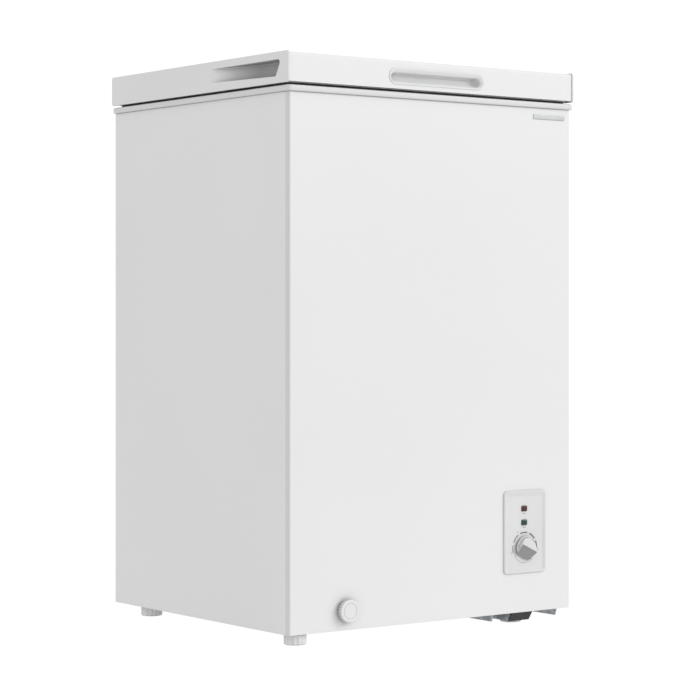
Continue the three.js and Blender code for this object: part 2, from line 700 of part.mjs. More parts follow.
// A side grip: deepest at its rounded front end, with a floor that ramps back up to the cap's face.
function scoopCavity(grow, outside) {
  const { front, slant, back, low, high, deep } = SCOOP;
  const side = roundedShape(
    [
      [front + slant - grow, low - grow, 4],
      [back + grow, low + 4 - grow, 2],
      [back + grow, high + grow, 2],
      [front - grow, high + grow, 5],
    ],
    3,
  );
  const face = LID_HALF + outside;
  const prism = profile(side, LID_HALF - deep - grow, face);
  const ramp = roundedShape([
    [LID_HALF - deep - 8 - grow, front + 46],
    [LID_HALF - grow, back + grow],
    [LID_HALF - 60, back + 30],
    [LID_HALF - 60, front],
  ]);
  return cut(prism, plan(ramp, LID_LOW - 10, HEIGHT + 10));
}

function endCap() {
  const outline = rectangle(-OVERHANG, LID_LOW, CABINET_DEPTH + OVERHANG, HEIGHT, 4, 4);
  const plate = profile(outline, LID_HALF - CAP.edge, LID_HALF);
  const pocket = scoopCavity(CAP.wall, -CAP.edge / 2);
  const tongue = box(LID_HALF - 14, 6, LID_LOW + 6, LID_HALF - 3, CABINET_DEPTH - 6, LID_LOW + 7.5);
  return cut(join(plate, pocket, tongue), scoopCavity(0, 4));
}

const mirrored = (geometry) => {
  const flipped = geometry.clone().scale(-1, 1, 1);
  const index = flipped.index.array;
  for (let i = 0; i < index.length; i += 3) [index[i + 1], index[i + 2]] = [index[i + 2], index[i + 1]];
  return flipped;
};

function handleInsert() {
  const { half, low, high, deep, rim } = HANDLE;
  const face = -OVERHANG + LID_PROUD;
  const flange = elevation(rectangle(-half, low, half, high, 12, 6), face - rim, face - GAP);
  const outer = rectangle(-half + 2.8, low + 2.8, half - 2.8, high - 2.8, 9.2, 6);
  const neck = elevation(outer, face - GAP - 0.1, face + deep);
  const inner = rectangle(-half + 4.6, low + 4.2, half - 4.6, high - 4.6, 7.6, 6);
  const mouth = elevation(inner, face - 4, face + deep - 2);
  return cut(join(flange, neck), mouth);
}

function lidLiner() {
  const low = LID_LOW + GAP + 0.2;
  const { half, front, back, radius, wall } = PLUG;
  const border = 4;
  const side = LID_HALF - CAP.edge - GAP - 2.7;
  const flange = plan(rectangle(-side, border, side, CABINET_DEPTH - border, 6), low, low + wall);
  const plug = plan(rectangle(-half, front, half, back, radius), PLUG.low, low + 1);
  const inside = rectangle(-half + wall, front + wall, half - wall, back - wall, radius - wall);
  return cut(join(flange, plug), plan(inside, PLUG.low + wall, low + 10));
}

function lidFoam() {
  const end = LID_HALF - CAP.edge - GAP - 12;
  const low = LID_LOW + 8;
  const block = box(-end, 6, low, end, CABINET_DEPTH - 6, HEIGHT - LID_PROUD - SHEET - GAP);
  const inside = rectangle(-PLUG.half + 2, PLUG.front + 2, PLUG.half - 2, PLUG.back - 2, 12);
  const fillings = plan(inside, PLUG.low + 2, low + 1);
  const room = HANDLE.half + 1;
  const handleRoom = box(-room, 0, HANDLE.low - 1, room, HANDLE.deep + 3, HANDLE.high + 1);
  const scoop = scoopCavity(CAP.wall + 1, 4);
  const screws = screwHoles(HINGE_SCREWS.high, CABINET_DEPTH - 12, CABINET_DEPTH + 12, SCREW.radius + 0.6);
  return cut(join(block, fillings), handleRoom, scoop, mirrored(scoop), ...screws);
}

function lidGasket() {
  const { inset, width, radius } = GASKET;
  const outline = rectangle(-HALF + inset, inset, HALF - inset, CABINET_DEPTH - inset, radius, 5);
  const inner = inset + width;
  const mouth = rectangle(-HALF + inner, inner, HALF - inner, CABINET_DEPTH - inner, 4, 5, THREE.Path);
  outline.holes.push(mouth);
  return plan(outline, COLLAR_TOP + GAP, LID_LOW + 0.2);
}

// ---- Wire basket ----
// Square-section wires: loops round the basket, bent wires that cross them half a wire outside,
// and two rails that rest on the tub's ledges.
function wireBasket() {
  const { left, right, low, top, wire, across, along } = BASKET;
  const half = wire / 2;
  const clearance = 1.4;
  const front = TUB.front + LEDGE.reach + clearance;
  const back = TUB.back - LEDGE.reach - clearance;
  const railLow = LEDGE.top + GAP;
  const hookLow = railLow + 0.6;
  const bars = [];
  const loop = (z) => {
    const [x0, x1, y0, y1] = [left + half, right - half, front + half, back - half];
    const outer = plan(rectangle(x0, y0, x1, y1), z, z + wire);
    const inner = plan(rectangle(x0 + wire, y0 + wire, x1 - wire, y1 - wire), z - 1, z + wire + 1);
    bars.push(cut(outer, inner));
  };
  [low + wire, (low + top) / 2, top - 2 * wire].forEach(loop);
  for (let i = 0; i < across; i++) {
    const x = left + 2 * wire + ((right - left - 5 * wire) * i) / (across - 1);
    const hooked = i === 0 || i === across - 1;
    const height = hooked ? hookLow + wire - 0.4 : top - half;
    bars.push(box(x, front, low, x + wire, back, low + wire));
    bars.push(box(x, front, low, x + wire, front + wire, height));
    bars.push(box(x, back - wire, low, x + wire, back, height));
    if (hooked) {
      bars.push(box(x, TUB.front + clearance, hookLow, x + wire, front + wire, hookLow + wire));
      bars.push(box(x, back - wire, hookLow, x + wire, TUB.back - clearance, hookLow + wire));
    }
  }
  for (let i = 0; i < along; i++) {
    const y = front + 2 * wire + ((back - front - 5 * wire) * i) / (along - 1);
    bars.push(box(left, y, low + half, right, y + wire, low + half + wire));
    bars.push(box(left, y, low + half, left + wire, y + wire, top - half));
    bars.push(box(right - wire, y, low + half, right, y + wire, top - half));
  }
  for (const y of [TUB.front + clearance + 0.5, TUB.back - clearance - 0.5 - wire]) {
    bars.push(box(left + wire, y, railLow, right - wire, y + wire, railLow + wire - 0.3));
  }
  return join(...bars);
}

// ---- Assembly ----
add(cabinet, "outer_wrap", outerWrap(), whitePaint);
add(cabinet, "back_panel", backPanel(), whitePaint);
add(cabinet, "bottom_panel", bottomPanel(), galvanised);
add(cabinet, "top_collar", topCollar(), whitePlastic);
add(cabinet, "inner_liner", innerLiner(), linerMetal);
add(cabinet, "cabinet_foam", foamBody(), foamYellow);
add(cabinet, "evaporator_coil", evaporatorCoil(), copper);
add(cabinet, "condenser_coil", condenserCoil(), copper);

const plateTop = FOOT_HEIGHT + GAP + BASE.sheet;
add(cabinet, "base_plate", basePlate(), galvanised);
add(cabinet, "foot_bracket_front", bracketFront(), blackPaint);
add(cabinet, "compressor", compressor(), blackPaint, [COMPRESSOR.x, COMPRESSOR.y, COMPRESSOR.low]);
for (const [side, sx] of [["left", -1], ["right", 1]]) {
  for (const [end, sy] of [["front", -1], ["rear", 1]]) {
    const x = COMPRESSOR.x + sx * COMPRESSOR_FEET.x;
    const y = COMPRESSOR.y + sy * COMPRESSOR_FEET.y;
    add(cabinet, `grommet_${end}_${side}`, grommet(), blackRubber, [x, y, plateTop + GAP]);
  }
}
const relayBox = box(-RELAY.halfWidth, -RELAY.halfDepth, 0, RELAY.halfWidth, RELAY.halfDepth, RELAY.height);
add(cabinet, "start_relay_box", relayBox, blackPlastic, [RELAY.x, COMPRESSOR.y, RELAY.z]);
add(cabinet, "filter_drier", filterDrier(), copper, [DRIER.x, DRIER.y, DRIER.z]);
add(cabinet, "suction_tube", suctionTube(), copper);
add(cabinet, "discharge_tube", dischargeTube(), copper);

add(cabinet, "panel_bezel", panelBezel(), panelPlastic, [PANEL.x, 0, PANEL.z]);
add(cabinet, "red_lens", lens(), redLens, [LENS.x, 0, LENS.red]);
add(cabinet, "green_lens", lens(), greenLens, [LENS.x, 0, LENS.green]);
add(cabinet, "thermostat_body", thermostatBody(), blackPlastic, [KNOB.x, 0, KNOB.z]);
add(cabinet, "thermostat_knob", thermostatKnob(), whitePlastic, [KNOB.x, -PANEL.thick - 0.5, KNOB.z]);
const badge = box(-BADGE.halfWidth, -BADGE.thick, -BADGE.halfHeight, BADGE.halfWidth, -GAP, BADGE.halfHeight);
add(cabinet, "badge_strip", badge, steel, [BADGE.x, 0, BADGE.z]);
add(cabinet, "drain_tube", drainTube(), whitePlastic);
add(cabinet, "drain_cap", drainCap(), whitePlastic, [DRAIN.x, 0, DRAIN.z]);
add(cabinet, "drain_plug", drainPlug(), whitePlastic, [DRAIN.x, DRAIN.y, TUB.floor - 15]);
add(cabinet, "rear_grille", rearGrille(), galvanised);
add(cabinet, "cord_gland", cordGland(), blackRubber, [BAY.left + GLAND.x, CABINET_DEPTH - 4.4, GLAND.z]);

for (const [place, [x, y]] of Object.entries(FEET)) {
  add(cabinet, `foot_pad_${place}`, footPad(), footPlastic, [x, y, 0]);
  add(cabinet, `foot_stud_${place}`, footStud(), steel, [x, y, 0]);
}

for (const [side, x] of [["left", -HINGE.x], ["right", HINGE.x]]) {
  const pin = rod("x", -HINGE.width / 2, PIVOT.y, PIVOT.z, PIVOT.pin, HINGE.width, 16);
  add(cabinet, `hinge_leaf_cabinet_${side}`, hingeLeaf(false), steel, [x, 0, 0]);
  add(cabinet, `hinge_pin_${side}`, pin, steel, [x, 0, 0]);
  add(lid, `hinge_leaf_lid_${side}`, hingeLeaf(true), steel, [x, 0, 0]);
  const cabinetFace = CABINET_DEPTH + GAP + HINGE.leaf;
  const lidFace = CABINET_DEPTH + OVERHANG + GAP + HINGE.leaf;
  for (const [which, step] of [["a", -1], ["b", 1]]) {
    const screwX = x + step * HINGE_SCREWS.spread;
    const lowAt = [screwX, cabinetFace, HINGE_SCREWS.low];
    const highAt = [screwX, lidFace, HINGE_SCREWS.high];
    add(cabinet, `hinge_screw_cabinet_${side}_${which}`, hingeScrew(), steel, lowAt);
    add(lid, `hinge_screw_lid_${side}_${which}`, hingeScrew(), steel, highAt);
  }
}

add(lid, "lid_sheet", lidSheet(), whitePaint);
add(lid, "lid_end_cap_right", endCap(), whitePlastic);
add(lid, "lid_end_cap_left", mirrored(endCap()), whitePlastic);
add(lid, "handle_insert", handleInsert(), whitePlastic);
add(lid, "lid_foam", lidFoam(), foamYellow);
add(lid, "lid_liner", lidLiner(), whitePlastic);
add(lid, "lid_gasket", lidGasket(), blackRubber);
add(cabinet, "wire_basket", wireBasket(), whitePlastic);

export default freezer;
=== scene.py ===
"""Looks for a compact chest freezer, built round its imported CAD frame."""

import json
import math

import bmesh
import bpy
from mathutils import Matrix, Vector


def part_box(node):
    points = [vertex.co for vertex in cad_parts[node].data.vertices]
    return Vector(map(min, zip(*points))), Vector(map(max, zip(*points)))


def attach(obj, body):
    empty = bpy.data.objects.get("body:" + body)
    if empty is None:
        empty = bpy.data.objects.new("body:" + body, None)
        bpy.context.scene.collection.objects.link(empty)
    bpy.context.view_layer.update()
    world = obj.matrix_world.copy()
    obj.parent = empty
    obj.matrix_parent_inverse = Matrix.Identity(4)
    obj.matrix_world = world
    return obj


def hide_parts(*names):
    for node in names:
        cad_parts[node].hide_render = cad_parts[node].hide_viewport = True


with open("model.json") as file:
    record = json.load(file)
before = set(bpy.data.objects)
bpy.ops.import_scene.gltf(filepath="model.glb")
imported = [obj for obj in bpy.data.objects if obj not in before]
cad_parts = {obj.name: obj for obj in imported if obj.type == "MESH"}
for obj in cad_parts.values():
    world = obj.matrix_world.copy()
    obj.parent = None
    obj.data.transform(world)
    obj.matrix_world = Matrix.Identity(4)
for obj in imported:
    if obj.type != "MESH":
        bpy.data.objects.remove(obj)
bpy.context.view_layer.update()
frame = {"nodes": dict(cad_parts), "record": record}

MM = 0.001
PAST = 10 * MM  # how far a cutting tool runs past what it cuts
WELD = 0.001 * MM  # points closer than this are one point
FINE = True
ARC = 8 if FINE else 5  # steps in a rounded corner
SHEET = 0.8 * MM  # steel sheet of the cabinet and the lid
SCREW_SPREAD = 19 * MM  # hinge screws either side of the hinge's middle
DRAIN_HOLE = 10.3 * MM  # radius
LENSES = ("red_lens", "green_lens")
NODE_BODY = {n: b for b, members in frame["record"]["behaviour"]["bodies"].items() for n in members}


def mm(*values):
    """Millimetres as metres."""
    return [value * MM for value in values]


def middle(node):
    low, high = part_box(node)
    return (low + high) / 2


HINGE_X = [middle("hinge_pin_" + side).x for side in ("left", "right")]


# ---------------------------------------------------------------- mesh tools
def new_object(name, mesh):
    obj = bpy.data.objects.new(name, mesh)
    bpy.context.scene.collection.objects.link(obj)
    return obj


def clean(mesh, flat=None):
    """Welds doubled points, merges faces that are flat to within an angle and turns all faces outwards."""
    work = bmesh.new()
    work.from_mesh(mesh)
    bmesh.ops.remove_doubles(work, verts=work.verts, dist=WELD)
    if flat is not None:
        bmesh.ops.dissolve_limit(work, angle_limit=flat, verts=work.verts, edges=work.edges)
    bmesh.ops.recalc_face_normals(work, faces=work.faces)
    work.to_mesh(mesh)
    work.free()


def make(name, verts, faces):
    mesh = bpy.data.meshes.new(name)
    mesh.from_pydata([tuple(v) for v in verts], [], faces)
    mesh.update()
    clean(mesh)
    return new_object(name, mesh)


def evaluated_mesh(obj):
    graph = bpy.context.evaluated_depsgraph_get()
    graph.update()
    return bpy.data.meshes.new_from_object(obj.evaluated_get(graph))


def bake(obj):
    """Replaces an object's mesh by what its modifiers make of it."""
    mesh = evaluated_mesh(obj)
    obj.modifiers.clear()
    obj.data = mesh
    return obj


def turned_to_mesh(name, curve):
    """An object with the mesh of a curve or a text."""
    holder = new_object(name + "_line", curve)
    mesh = evaluated_mesh(holder)
    bpy.data.objects.remove(holder)
    return new_object(name, mesh)


def smooth(obj, angle=32):
    for face in obj.data.polygons:
        face.use_smooth = True
    obj.data.set_sharp_from_angle(angle=math.radians(angle))
    return obj


def round_edges(obj, width, segments, angle):
    edge = obj.modifiers.new("edge", "BEVEL")
    edge.width = width
    edge.segments = segments if FINE else 2
    edge.limit_method = "ANGLE"
    edge.angle_limit = math.radians(angle)
    return edge


def soften(obj, width, segments=3, angle=30):
    """Rounds every edge sharper than the angle and shades the result smoothly."""
    edge = round_edges(obj, width, segments, angle)
    edge.use_clamp_overlap = True
    edge.miter_outer = "MITER_ARC"
    bake(obj)
    return smooth(obj, 40)


def even_shading(obj):
    """Lets the large faces set the shading, so that only the rounded edges blend."""
    shade = obj.modifiers.new("shade", "WEIGHTED_NORMAL")
    shade.keep_sharp = True
    return bake(obj)


def carve(obj, *tools, operation="DIFFERENCE"):
    for tool in tools:
        cut = obj.modifiers.new("cut", "BOOLEAN")
        cut.operation = operation
        cut.solver = "EXACT"
        cut.object = tool
        bake(obj)
        bpy.data.objects.remove(tool)
    return obj


def join(name, *parts):
    """One object of several meshes that only stand together."""
    work = bmesh.new()
    for part in parts:
        work.from_mesh(part.data)
    mesh = bpy.data.meshes.new(name)
    work.to_mesh(mesh)
    work.free()
    for part in parts:
        bpy.data.objects.remove(part)
    return smooth(new_object(name, mesh))


# ---------------------------------------------------------------- shapes
def rounded(corners, steps=ARC):
    """An outline from (u, v, radius) corners, each rounded with an arc."""
    points = []
    count = len(corners)
    for i, (u, v, radius) in enumerate(corners):
        here = Vector((u, v))
        if radius <= 0:
            points.append(here)
            continue
        before = (Vector(corners[i - 1][:2]) - here).normalized()
        after = (Vector(corners[(i + 1) % count][:2]) - here).normalized()
        half = before.angle(after) / 2
        centre = here + (before + after).normalized() * radius / math.sin(half)
        start = here + before * radius / math.tan(half) - centre
        end = here + after * radius / math.tan(half) - centre
        turn = start.angle_signed(end)
        for k in range(steps + 1):
            points.append(centre + Matrix.Rotation(-turn * k / steps, 2) @ start)
    return points


def rectangle(u0, v0, u1, v1, radius=0.0, steps=ARC):
    return rounded([(u0, v0, radius), (u1, v0, radius), (u1, v1, radius), (u0, v1, radius)], steps)


def circle(u, v, radius, steps=48):
    angles = [2 * math.pi * k / steps for k in range(steps)]
    return [(u + radius * math.cos(angle), v + radius * math.sin(angle)) for angle in angles]


PLACES = {
    "x": lambda u, v, w: (w, u, v),
    "y": lambda u, v, w: (u, w, v),
    "z": lambda u, v, w: (u, v, w),
}


def prism(name, outline, axis, low, high):
    """An outline pushed along an axis; its own plane is (y, z), (x, z) or (x, y)."""
    place = PLACES[axis]
    count = len(outline)
    verts = [place(u, v, w) for w in (low, high) for u, v in outline]
    faces = [tuple(range(count)), tuple(range(2 * count - 1, count - 1, -1))]
    for i in range(count):
        j = (i + 1) % count
        faces.append((i, i + count, j + count, j))
    return make(name, verts, faces)


def block(name, low, high):
    (x0, y0, z0), (x1, y1, z1) = low, high
    return prism(name, rectangle(x0, y0, x1, y1), "z", z0, z1)


def loft(name, loops, ring=False, caps=(True, True)):
    """A skin over loops of points with the same count; a ring joins the last loop to the first."""
    count = len(loops[0])
    verts = [p for loop in loops for p in loop]
    faces = []
    last = len(loops) if ring else len(loops) - 1
    for k in range(last):
        a, b = k * count, ((k + 1) % len(loops)) * count
        for i in range(count):
            j = (i + 1) % count
            faces.append((a + i, a + j, b + j, b + i))
    if not ring and caps[0]:
        faces.append(tuple(range(count))[::-1])
    if not ring and caps[1]:
        faces.append(tuple(range((len(loops) - 1) * count, len(loops) * count)))
    return make(name, verts, faces)


def plan_loop(x0, y0, x1, y1, radius, z, steps=ARC):
    return [Vector((u, v, z)) for u, v in rectangle(x0, y0, x1, y1, radius, steps)]


def plan_inset(low, high, inset, radius, z):
    """A level loop inside a box's plan; the inset is in millimetres."""
    d = inset * MM
    return plan_loop(low.x + d, low.y + d, high.x - d, high.y - d, radius, z)


def face_loop(low, high, insets, radius, y, steps=ARC):
    """An upright loop facing the front, inset by (left, bottom, right, top) millimetres from a box."""
    left, bottom, right, top = mm(*insets)
    outline = rectangle(low.x + left, low.z + bottom, high.x - right, high.z - top, radius, steps)
    return [Vector((u, y, v)) for u, v in outline]


def spin(profile, centre, axis, steps):
    """Loops turned from (radius, height) points in millimetres, about an axis through a centre."""
    return [[Vector(PLACES[axis](u, v, height * MM)) + Vector(centre)
             for u, v in circle(0, 0, radius * MM, steps)]
            for radius, height in profile]


def turned(name, profile, centre, axis, steps):
    """A solid of revolution; quick work halves its steps."""
    steps = steps if FINE else max(16, steps // 2)
    return smooth(loft(name, spin(profile, centre, axis, steps)), 35)


def fluted(name, centre, radius, depth, count, levels, axis, sharp):
    """A disc with a wavy rim, from (share of the radius, height in millimetres, share of the flutes)."""
    steps = count * (8 if FINE else 4)
    loops = []
    for size, height, flute in levels:
        loop = []
        for k in range(steps):
            angle = 2 * math.pi * k / steps
            wave = 0.5 - 0.5 * math.cos(count * angle)
            r = radius * size - depth * flute * wave ** 1.6
            loop.append(Vector(PLACES[axis](r * math.cos(angle), r * math.sin(angle), height * MM)) + centre)
        loops.append(loop)
    return smooth(loft(name, loops), sharp)


def tube(name, points, radius, sides=5, cyclic=False):
    curve = bpy.data.curves.new(name, "CURVE")
    curve.dimensions = "3D"
    curve.bevel_depth = radius
    curve.bevel_resolution = sides if FINE else 2
    curve.use_fill_caps = True
    line = curve.splines.new("POLY")
    line.points.add(len(points) - 1)
    for spot, point in zip(line.points, points):
        spot.co = (*point, 1)
    line.use_cyclic_u = cyclic
    return smooth(turned_to_mesh(name, curve), 60)


def bent(corners, radius, steps=6, cyclic=False):
    """A route through corners, each rounded to a radius."""
    points = []
    count = len(corners)
    spots = [Vector(c) for c in corners]
    for i, here in enumerate(spots):
        if not cyclic and i in (0, count - 1):
            points.append(here)
            continue
        before = spots[i - 1] - here
        after = spots[(i + 1) % count] - here
        reach = min(radius, before.length / 2, after.length / 2)
        start = here + before.normalized() * reach
        end = here + after.normalized() * reach
        for k in range(steps + 1):
            t = k / steps
            points.append((1 - t) ** 2 * start + 2 * t * (1 - t) * here + t * t * end)
    return points


def screw_tools(z, y0, y1):
    """Clearance holes for the four screws of a pair of hinges."""
    radius = 1.9 * MM
    return [prism("screw_tool", circle(x + side * SCREW_SPREAD, z, radius, 24), "y", y0, y1)
            for x in HINGE_X for side in (-1, 1)]


# ---------------------------------------------------------------- materials
class Look:
    """A principled material with a few node helpers."""

    def __init__(self, name, roughness, metallic=0.0, **sockets):
        self.material = bpy.data.materials.new(name)
        self.material.use_nodes = True
        self.tree = self.material.node_tree
        self.shader = self.tree.nodes["Principled BSDF"]
        self.shader.inputs["Roughness"].default_value = roughness
        self.shader.inputs["Metallic"].default_value = metallic
        for socket, value in sockets.items():
            self.shader.inputs[socket.replace("_", " ")].default_value = value
        self.coordinates = self.node("ShaderNodeTexCoord").outputs
        self.place = self.coordinates["Object"]

    def node(self, kind, **settings):
        made = self.tree.nodes.new(kind)
        for key, value in settings.items():
            setattr(made, key, value)
        return made

    def link(self, source, target):
        self.tree.links.new(source, target)

    def stretched(self, stretch):
        if stretch is None:
            return self.place
        mapping = self.node("ShaderNodeMapping")
        mapping.inputs["Scale"].default_value = stretch
        self.link(self.place, mapping.inputs["Vector"])
        return mapping.outputs["Vector"]

    def noise(self, scale, detail=3.0, stretch=None):
        made = self.node("ShaderNodeTexNoise")
        made.inputs["Scale"].default_value = scale
        made.inputs["Detail"].default_value = detail
        self.link(self.stretched(stretch), made.inputs["Vector"])
        return made.outputs["Fac"]

    def cells(self, scale, feature="F1", output="Distance"):
        made = self.node("ShaderNodeTexVoronoi", feature=feature)
        made.inputs["Scale"].default_value = scale
        self.link(self.place, made.inputs["Vector"])
        return made.outputs[output]

    def spread(self, source, low, high, start=0.0, end=1.0):
        made = self.node("ShaderNodeMapRange")
        made.inputs["From Min"].default_value = start
        made.inputs["From Max"].default_value = end
        made.inputs["To Min"].default_value = low
        made.inputs["To Max"].default_value = high
        self.link(source, made.inputs["Value"])
        return made.outputs["Result"]

    def paint(self, source, dark, light, start=0.3, end=0.7):
        ramp = self.node("ShaderNodeValToRGB")
        for element, position, colour in zip(ramp.color_ramp.elements, (start, end), (dark, light)):
            element.position = position
            element.color = (*colour, 1)
        self.link(source, ramp.inputs["Fac"])
        self.link(ramp.outputs["Color"], self.shader.inputs["Base Color"])
        return ramp.outputs["Color"]

    def dim(self, colour, *shares):
        """Multiplies the colour by each share."""
        for share in shares:
            made = self.node("ShaderNodeVectorMath", operation="SCALE")
            self.link(colour, made.inputs[0])
            self.link(share, made.inputs["Scale"])
            colour = made.outputs["Vector"]
        self.link(colour, self.shader.inputs["Base Color"])

    def hollow(self, distance, low, open_at=0.9):
        """Painted shade: a share that darkens the colour, falling to its low in hollows narrower than the distance."""
        made = self.node("ShaderNodeAmbientOcclusion", samples=6)
        made.inputs["Distance"].default_value = distance
        return self.spread(made.outputs["AO"], low, 1.0, 0.1, open_at)

    def part(self, vector, axis):
        made = self.node("ShaderNodeSeparateXYZ")
        self.link(vector, made.inputs["Vector"])
        return made.outputs[axis]

    def clamped(self, operation, *sources):
        made = self.node("ShaderNodeMath", operation=operation, use_clamp=True)
        for source, socket in zip(sources, made.inputs):
            self.link(source, socket)
        return made.outputs["Value"]

    def rough(self, source, low, high):
        self.link(self.spread(source, low, high, 0.25, 0.75), self.shader.inputs["Roughness"])

    def bump(self, *layers):
        """Layers of (height source, depth in metres), each on top of the one before."""
        normal = None
        for source, depth in layers:
            made = self.node("ShaderNodeBump")
            made.inputs["Strength"].default_value = 1.0
            made.inputs["Distance"].default_value = depth
            self.link(source, made.inputs["Height"])
            if normal is not None:
                self.link(normal, made.inputs["Normal"])
            normal = made.outputs["Normal"]
        self.link(normal, self.shader.inputs["Normal"])


def even_look(name, roughness, tones, sheen, grain, metallic=0.0, stretch=None, hollow=None, **sockets):
    """A plain surface: tones (scale, detail, dark, light), sheen (scale, detail, low, high), grain (scale,
    detail, depth) and, for a surface with shade painted into its hollows, hollow (distance, low, open at)."""
    look = Look(name, roughness, metallic, **sockets)
    scale, detail, dark, light = tones
    colour = look.paint(look.noise(scale, detail), dark, light)
    # painted shade: the colour darkens in hollows
    if hollow:
        look.dim(colour, look.hollow(*hollow))
    scale, detail, low, high = sheen
    look.rough(look.noise(scale, detail, stretch), low, high)
    scale, detail, depth = grain
    look.bump((look.noise(scale, detail, stretch), depth))
    return look.material


def white_paint(name="white_paint", hem_and_reflection_band=None):
    """Satin paint with shade painted into its hollows; given a depth, it also paints a dark reflection band on the side
    faces in front of that depth, beside the front corners.
    """
    look = Look(name, 0.42)
    colour = look.paint(look.noise(2.2, 2), (0.86, 0.863, 0.865), (0.885, 0.887, 0.889))
    # painted shade: the colour darkens in hollows
    shares = [look.hollow(20 * MM, 0.55)]
    # painted dark reflection: the side faces darken near the front corners, in front of the given depth
    if hem_and_reflection_band is not None:
        blur = 0.8 * MM
        behind = look.spread(look.part(look.place, "Y"), 0.0, 1.0, hem_and_reflection_band - blur, hem_and_reflection_band + blur)
        facing = look.part(look.node("ShaderNodeNewGeometry").outputs["Normal"], "X")
        front_on = look.spread(look.clamped("ABSOLUTE", facing), 1.0, 0.0, 0.25, 0.6)
        shares.append(look.spread(look.clamped("MAXIMUM", behind, front_on), 0.85, 1.0))
    look.dim(colour, *shares)
    look.rough(look.noise(160, 4), 0.38, 0.47)
    look.bump((look.noise(1.4, 1), 0.6 * MM), (look.noise(420, 2), 0.012 * MM))
    return look.material


def white_plastic(name="white_plastic", tint=1.0, reach=30 * MM, low=0.16, shaded=False):
    """Moulded plastic with shade painted into its hollows; a shaded one also has painted shade, greyer where it faces
    down.
    """
    look = Look(name, 0.4, Subsurface_Weight=0.04, Subsurface_Scale=0.002)
    dark, light = ([v * tint for v in tone] for tone in ((0.835, 0.837, 0.84), (0.86, 0.862, 0.865)))
    # painted shade: darker in hollows
    shares = [look.hollow(reach, low)]
    # painted shade: greyer on faces that point down, in the part's own frame
    if shaded:
        facing = look.part(look.coordinates["Normal"], "Z")
        shares.append(look.spread(facing, 0.45, 1.0, -0.5, -0.2))
    look.dim(look.paint(look.noise(6, 3), dark, light), *shares)
    look.rough(look.noise(240, 3), 0.36, 0.46)
    look.bump((look.noise(1500, 2), 0.01 * MM))
    return look.material


def liner_sheet():
    """White-coated sheet with a stucco emboss."""
    look = Look("liner_sheet", 0.34, 0.15)
    look.paint(look.noise(5, 3), (0.78, 0.79, 0.8), (0.84, 0.85, 0.855))
    look.rough(look.noise(90, 3), 0.28, 0.42)
    look.bump((look.cells(170, "SMOOTH_F1"), 0.6 * MM), (look.noise(700, 2), 0.02 * MM))
    return look.material


def zinc_spangle():
    """Galvanised sheet: each flake has its own tone and gloss."""
    look = Look("zinc_spangle", 0.38, 0.85)
    value = look.node("ShaderNodeSeparateColor")
    look.link(look.cells(150, output="Color"), value.inputs["Color"])
    look.paint(value.outputs["Red"], (0.42, 0.44, 0.46), (0.66, 0.68, 0.7), 0.0, 1.0)
    look.link(look.spread(value.outputs["Green"], 0.28, 0.5), look.shader.inputs["Roughness"])
    look.bump((look.noise(300, 3), 0.02 * MM))
    return look.material


def badge_metal():
    look = Look("badge_metal", 0.3, 0.8)
    grain = look.noise(400, 3, stretch=(0.05, 1, 4))
    look.paint(grain, (0.42, 0.43, 0.44), (0.56, 0.57, 0.58))
    look.rough(grain, 0.24, 0.4)
    look.bump((grain, 0.01 * MM))
    return look.material


def zinc_plate():
    look = Look("zinc_plate", 0.28, 1.0)
    look.paint(look.noise(60, 4), (0.58, 0.6, 0.62), (0.72, 0.73, 0.74))
    look.rough(look.noise(300, 4, stretch=(1, 1, 12)), 0.2, 0.42)
    look.bump((look.noise(900, 3, stretch=(1, 1, 8)), 0.01 * MM))
    return look.material


def foam():
    look = Look("foam", 0.9)
    look.paint(look.noise(90, 4), (0.68, 0.58, 0.34), (0.82, 0.74, 0.5))
    look.rough(look.noise(300, 3), 0.85, 0.98)
    look.bump((look.cells(900), 0.2 * MM))
    return look.material


def lamp_lens(name, deep, bright):
    look = Look(name, 0.12, Coat_Weight=0.5, Coat_Roughness=0.05)
    look.paint(look.cells(1500), deep, bright, 0.0, 0.8)
    look.rough(look.noise(600, 2), 0.1, 0.2)
    look.bump((look.cells(1500), 0.1 * MM))
    return look.material


